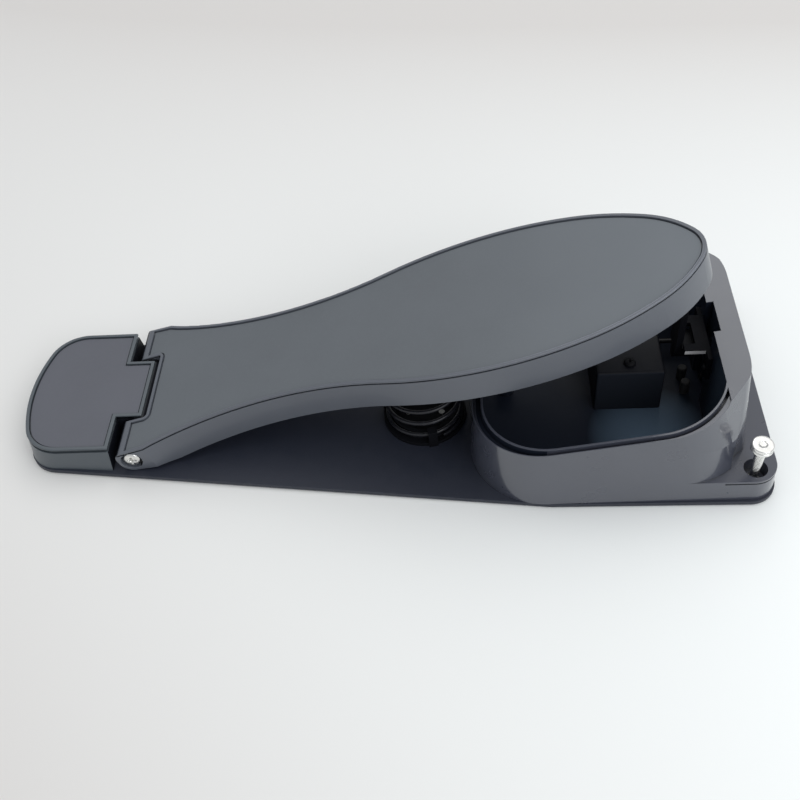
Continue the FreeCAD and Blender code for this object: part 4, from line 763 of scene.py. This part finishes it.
def screw_head(name, material, sizes, place, direction):
    """Pan head with a cross recess and a short shank behind it, seated at a place."""
    radius, height, shank, shank_length, recess_turn = sizes
    reach, width, floor, taper = SCREW_RECESS
    profile = [(shank, -shank_length), (shank, -0.05)]
    profile += [(radius * across, height * up) for across, up in SCREW_DOME]
    piece = new_piece(name, lathe(profile), MATERIALS[material])
    twist(piece, recess_turn)
    recess = cross_outline(radius * reach, radius * width)
    carve(piece, prism(recess, height * floor, height + TOOL_EXCESS, taper))
    turn_towards(piece, place, direction)
    return piece


def hinge_screw_heads():
    """The two big heads that close the hinge, one in each ear."""
    low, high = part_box("hinge_screws")
    middle = (low + high) / 2
    height = HINGE_SCREW[1]
    for side, edge, place in ((-1, low.y, "near"), (1, high.y, "far")):
        seat = Vector((middle.x, edge - side * height * MM, middle.z))
        piece = screw_head("hinge_screw_" + place, "nickel", HINGE_SCREW, seat, (0, side, 0))
        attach(piece, "base")
        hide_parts("hinge_screws")


def cover_screw_heads():
    """The heads of the two screws that hold the cover."""
    low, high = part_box("cover_screws")
    radius, height = COVER_SCREW[:2]
    for y, place in ((low.y + radius * MM, "near"), (high.y - radius * MM, "far")):
        seat = Vector(((low.x + high.x) / 2, y, high.z - height * MM))
        piece = screw_head("cover_screw_" + place, "lacquer", COVER_SCREW, seat, (0, 0, 1))
        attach(piece, "base")
        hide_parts("cover_screws")


def bolt_profile(length):
    """Tip, thread turns that grow upwards, then the neck and the two-step head."""
    head_height = BOLT_HEAD[-1][1]
    profile = [(radius, head_height - length + height) for radius, height in BOLT_TIP]
    bottom = profile[-1][1]
    step = (BOLT_HEAD[0][1] - bottom) / BOLT_TURNS
    for k in range(BOLT_TURNS):
        z = bottom + k * step
        crest = BOLT_THREAD_RADIUS + BOLT_THREAD_GROWTH * (k + 0.5) / BOLT_TURNS
        root = crest - BOLT_THREAD_DEPTH
        profile += [(root, z + 0.1 * step), (crest, z + 0.4 * step),
                    (crest, z + 0.6 * step), (root, z + 0.9 * step)]
    return profile + list(BOLT_HEAD)


def anchor_bolt(place):
    """Spiked floor bolt with a shallow hexagon in its head."""
    node = "anchor_bolt_" + place
    low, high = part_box(node)
    middle = (low + high) / 2
    rings = lathe(bolt_profile((high.z - low.z) / MM), segments=64)
    piece = new_piece(node + "_detailed", rings, MATERIALS["nickel"], smooth_angle=40.0)
    twist(piece, BOLT_TWIST)
    carve(piece, prism(hexagon_outline(BOLT_SOCKET_WIDTH), *BOLT_SOCKET_HEIGHTS,
                       BOLT_SOCKET_TAPER))
    seat = (middle.x, middle.y, high.z - BOLT_HEAD[-1][1] * MM)
    turn_towards(piece, seat, (0, 0, 1))
    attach(piece, node)
    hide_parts(node)


def spring_rise(turn, slope):
    """Height of the wire above its first turn: closed end, open coil, closed end."""
    open_end = SPRING_TURNS - SPRING_END_TURNS
    rise = min(turn, SPRING_END_TURNS) * SPRING_END_PITCH
    rise += max(0.0, min(turn, open_end) - SPRING_END_TURNS) * slope
    rise += max(0.0, turn - SPRING_TURNS + SPRING_END_TURNS) * SPRING_END_PITCH
    return rise


def return_spring():
    """The coil with closed, ground ends, squeezed between the base and the board."""
    low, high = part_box("return_spring")
    middle = (low + high) / 2
    wire = SPRING_WIRE
    foot = low.z / MM + wire
    head = high.z / MM - wire
    end_rise = SPRING_END_PITCH * SPRING_END_TURNS
    slope = (head - foot - 2 * end_rise) / (SPRING_TURNS - 2 * SPRING_END_TURNS)
    ground = SPRING_GROUND * wire * MM
    lowest, highest = low.z + wire * MM - ground, high.z - wire * MM + ground
    upward = Vector((0, 0, 1))
    rings = []
    for k in range(int(SPRING_TURNS * SPRING_STEPS) + 1):
        turn = k / SPRING_STEPS
        a = math.radians(SPRING_START) + 2 * math.pi * turn
        out = Vector((math.cos(a), math.sin(a), 0.0))
        centre = Vector((middle.x, middle.y, 0.0)) + out * SPRING_RADIUS * MM
        centre.z = (foot + spring_rise(turn, slope)) * MM
        ring = []
        for i in range(SPRING_SIDES):
            b = 2 * math.pi * i / SPRING_SIDES
            point = centre + (out * math.cos(b) + upward * math.sin(b)) * wire * MM
            point.z = min(max(point.z, lowest), highest)
            ring.append(point)
        rings.append(ring)
    piece = new_piece("return_spring_coil", rings, MATERIALS["wire"], smooth_angle=60.0)
    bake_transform(piece)
    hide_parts("return_spring")


# Floor, light and camera


def pale_floor():
    """Pale table with painted light: its tone drifts from a duller far and left side to a
    brighter right.
    """
    mesh = bpy.data.meshes.new("floor")
    build = bmesh.new()
    bmesh.ops.create_grid(build, x_segments=FLOOR_SQUARES, y_segments=FLOOR_SQUARES,
                          size=FLOOR_WIDTH / 2)
    build.to_mesh(mesh)
    build.free()
    floor = link_object("floor", mesh)
    n = Nodes("pale_table")
    x, y, _ = n.split(n.place())
    sideways = n.times(x, n.minus(FLOOR_DRIFT_X, n.times(y, FLOOR_DRIFT_XY)))
    depth = n.times(n.times(y, y), FLOOR_DRIFT_YY)
    drift = n.plus(n.minus(sideways, depth), FLOOR_TONE)
    tone = n.mix(n.remap(drift, 0.0, 1.0), FLOOR_DULL, FLOOR_BRIGHT)
    floor.data.materials.append(n.set(Base_Color=tone, Roughness=0.8, Specular_IOR_Level=0.1))


def light_scene():
    world = bpy.data.worlds.new("studio")
    bpy.context.scene.world = world
    world.use_nodes = True
    background = world.node_tree.nodes["Background"]
    background.inputs["Color"].default_value = WORLD_COLOUR
    background.inputs["Strength"].default_value = WORLD_STRENGTH
    for name, place, size, power, colour in LAMPS:
        data = bpy.data.lights.new(name, "AREA")
        data.shape = "RECTANGLE"
        data.size, data.size_y = size
        data.energy = power
        data.color = colour
        lamp = link_object(name, data)
        lamp.location = place
        aim = Vector(LAMP_TARGET) - Vector(place)
        lamp.rotation_euler = aim.to_track_quat("-Z", "Y").to_euler()


def aim_camera():
    """The photograph's view: forward from yaw and pitch, then rolled."""
    forward = Vector((math.sin(CAMERA_YAW) * math.cos(CAMERA_PITCH),
                      math.cos(CAMERA_YAW) * math.cos(CAMERA_PITCH),
                      -math.sin(CAMERA_PITCH)))
    level = forward.cross(Vector((0, 0, 1))).normalized()
    upward = level.cross(forward)
    right = math.cos(CAMERA_ROLL) * level + math.sin(CAMERA_ROLL) * upward
    up = -math.sin(CAMERA_ROLL) * level + math.cos(CAMERA_ROLL) * upward
    turn = Matrix((right, up, -forward)).transposed()
    data = bpy.data.cameras.new("photo_camera")
    data.lens = CAMERA_LENS
    data.sensor_width = CAMERA_SENSOR
    camera = link_object("photo_camera", data)
    camera.matrix_world = Matrix.Translation(Vector(CAMERA_PLACE)) @ turn.to_4x4()
    bpy.context.scene.camera = camera


dress_nodes()
hinge_screw_heads()
anchor_bolt("near")
anchor_bolt("far")
return_spring()
cover_screw_heads()
pale_floor()
light_scene()
aim_camera()
bpy.context.scene.view_settings.view_transform = "Standard"
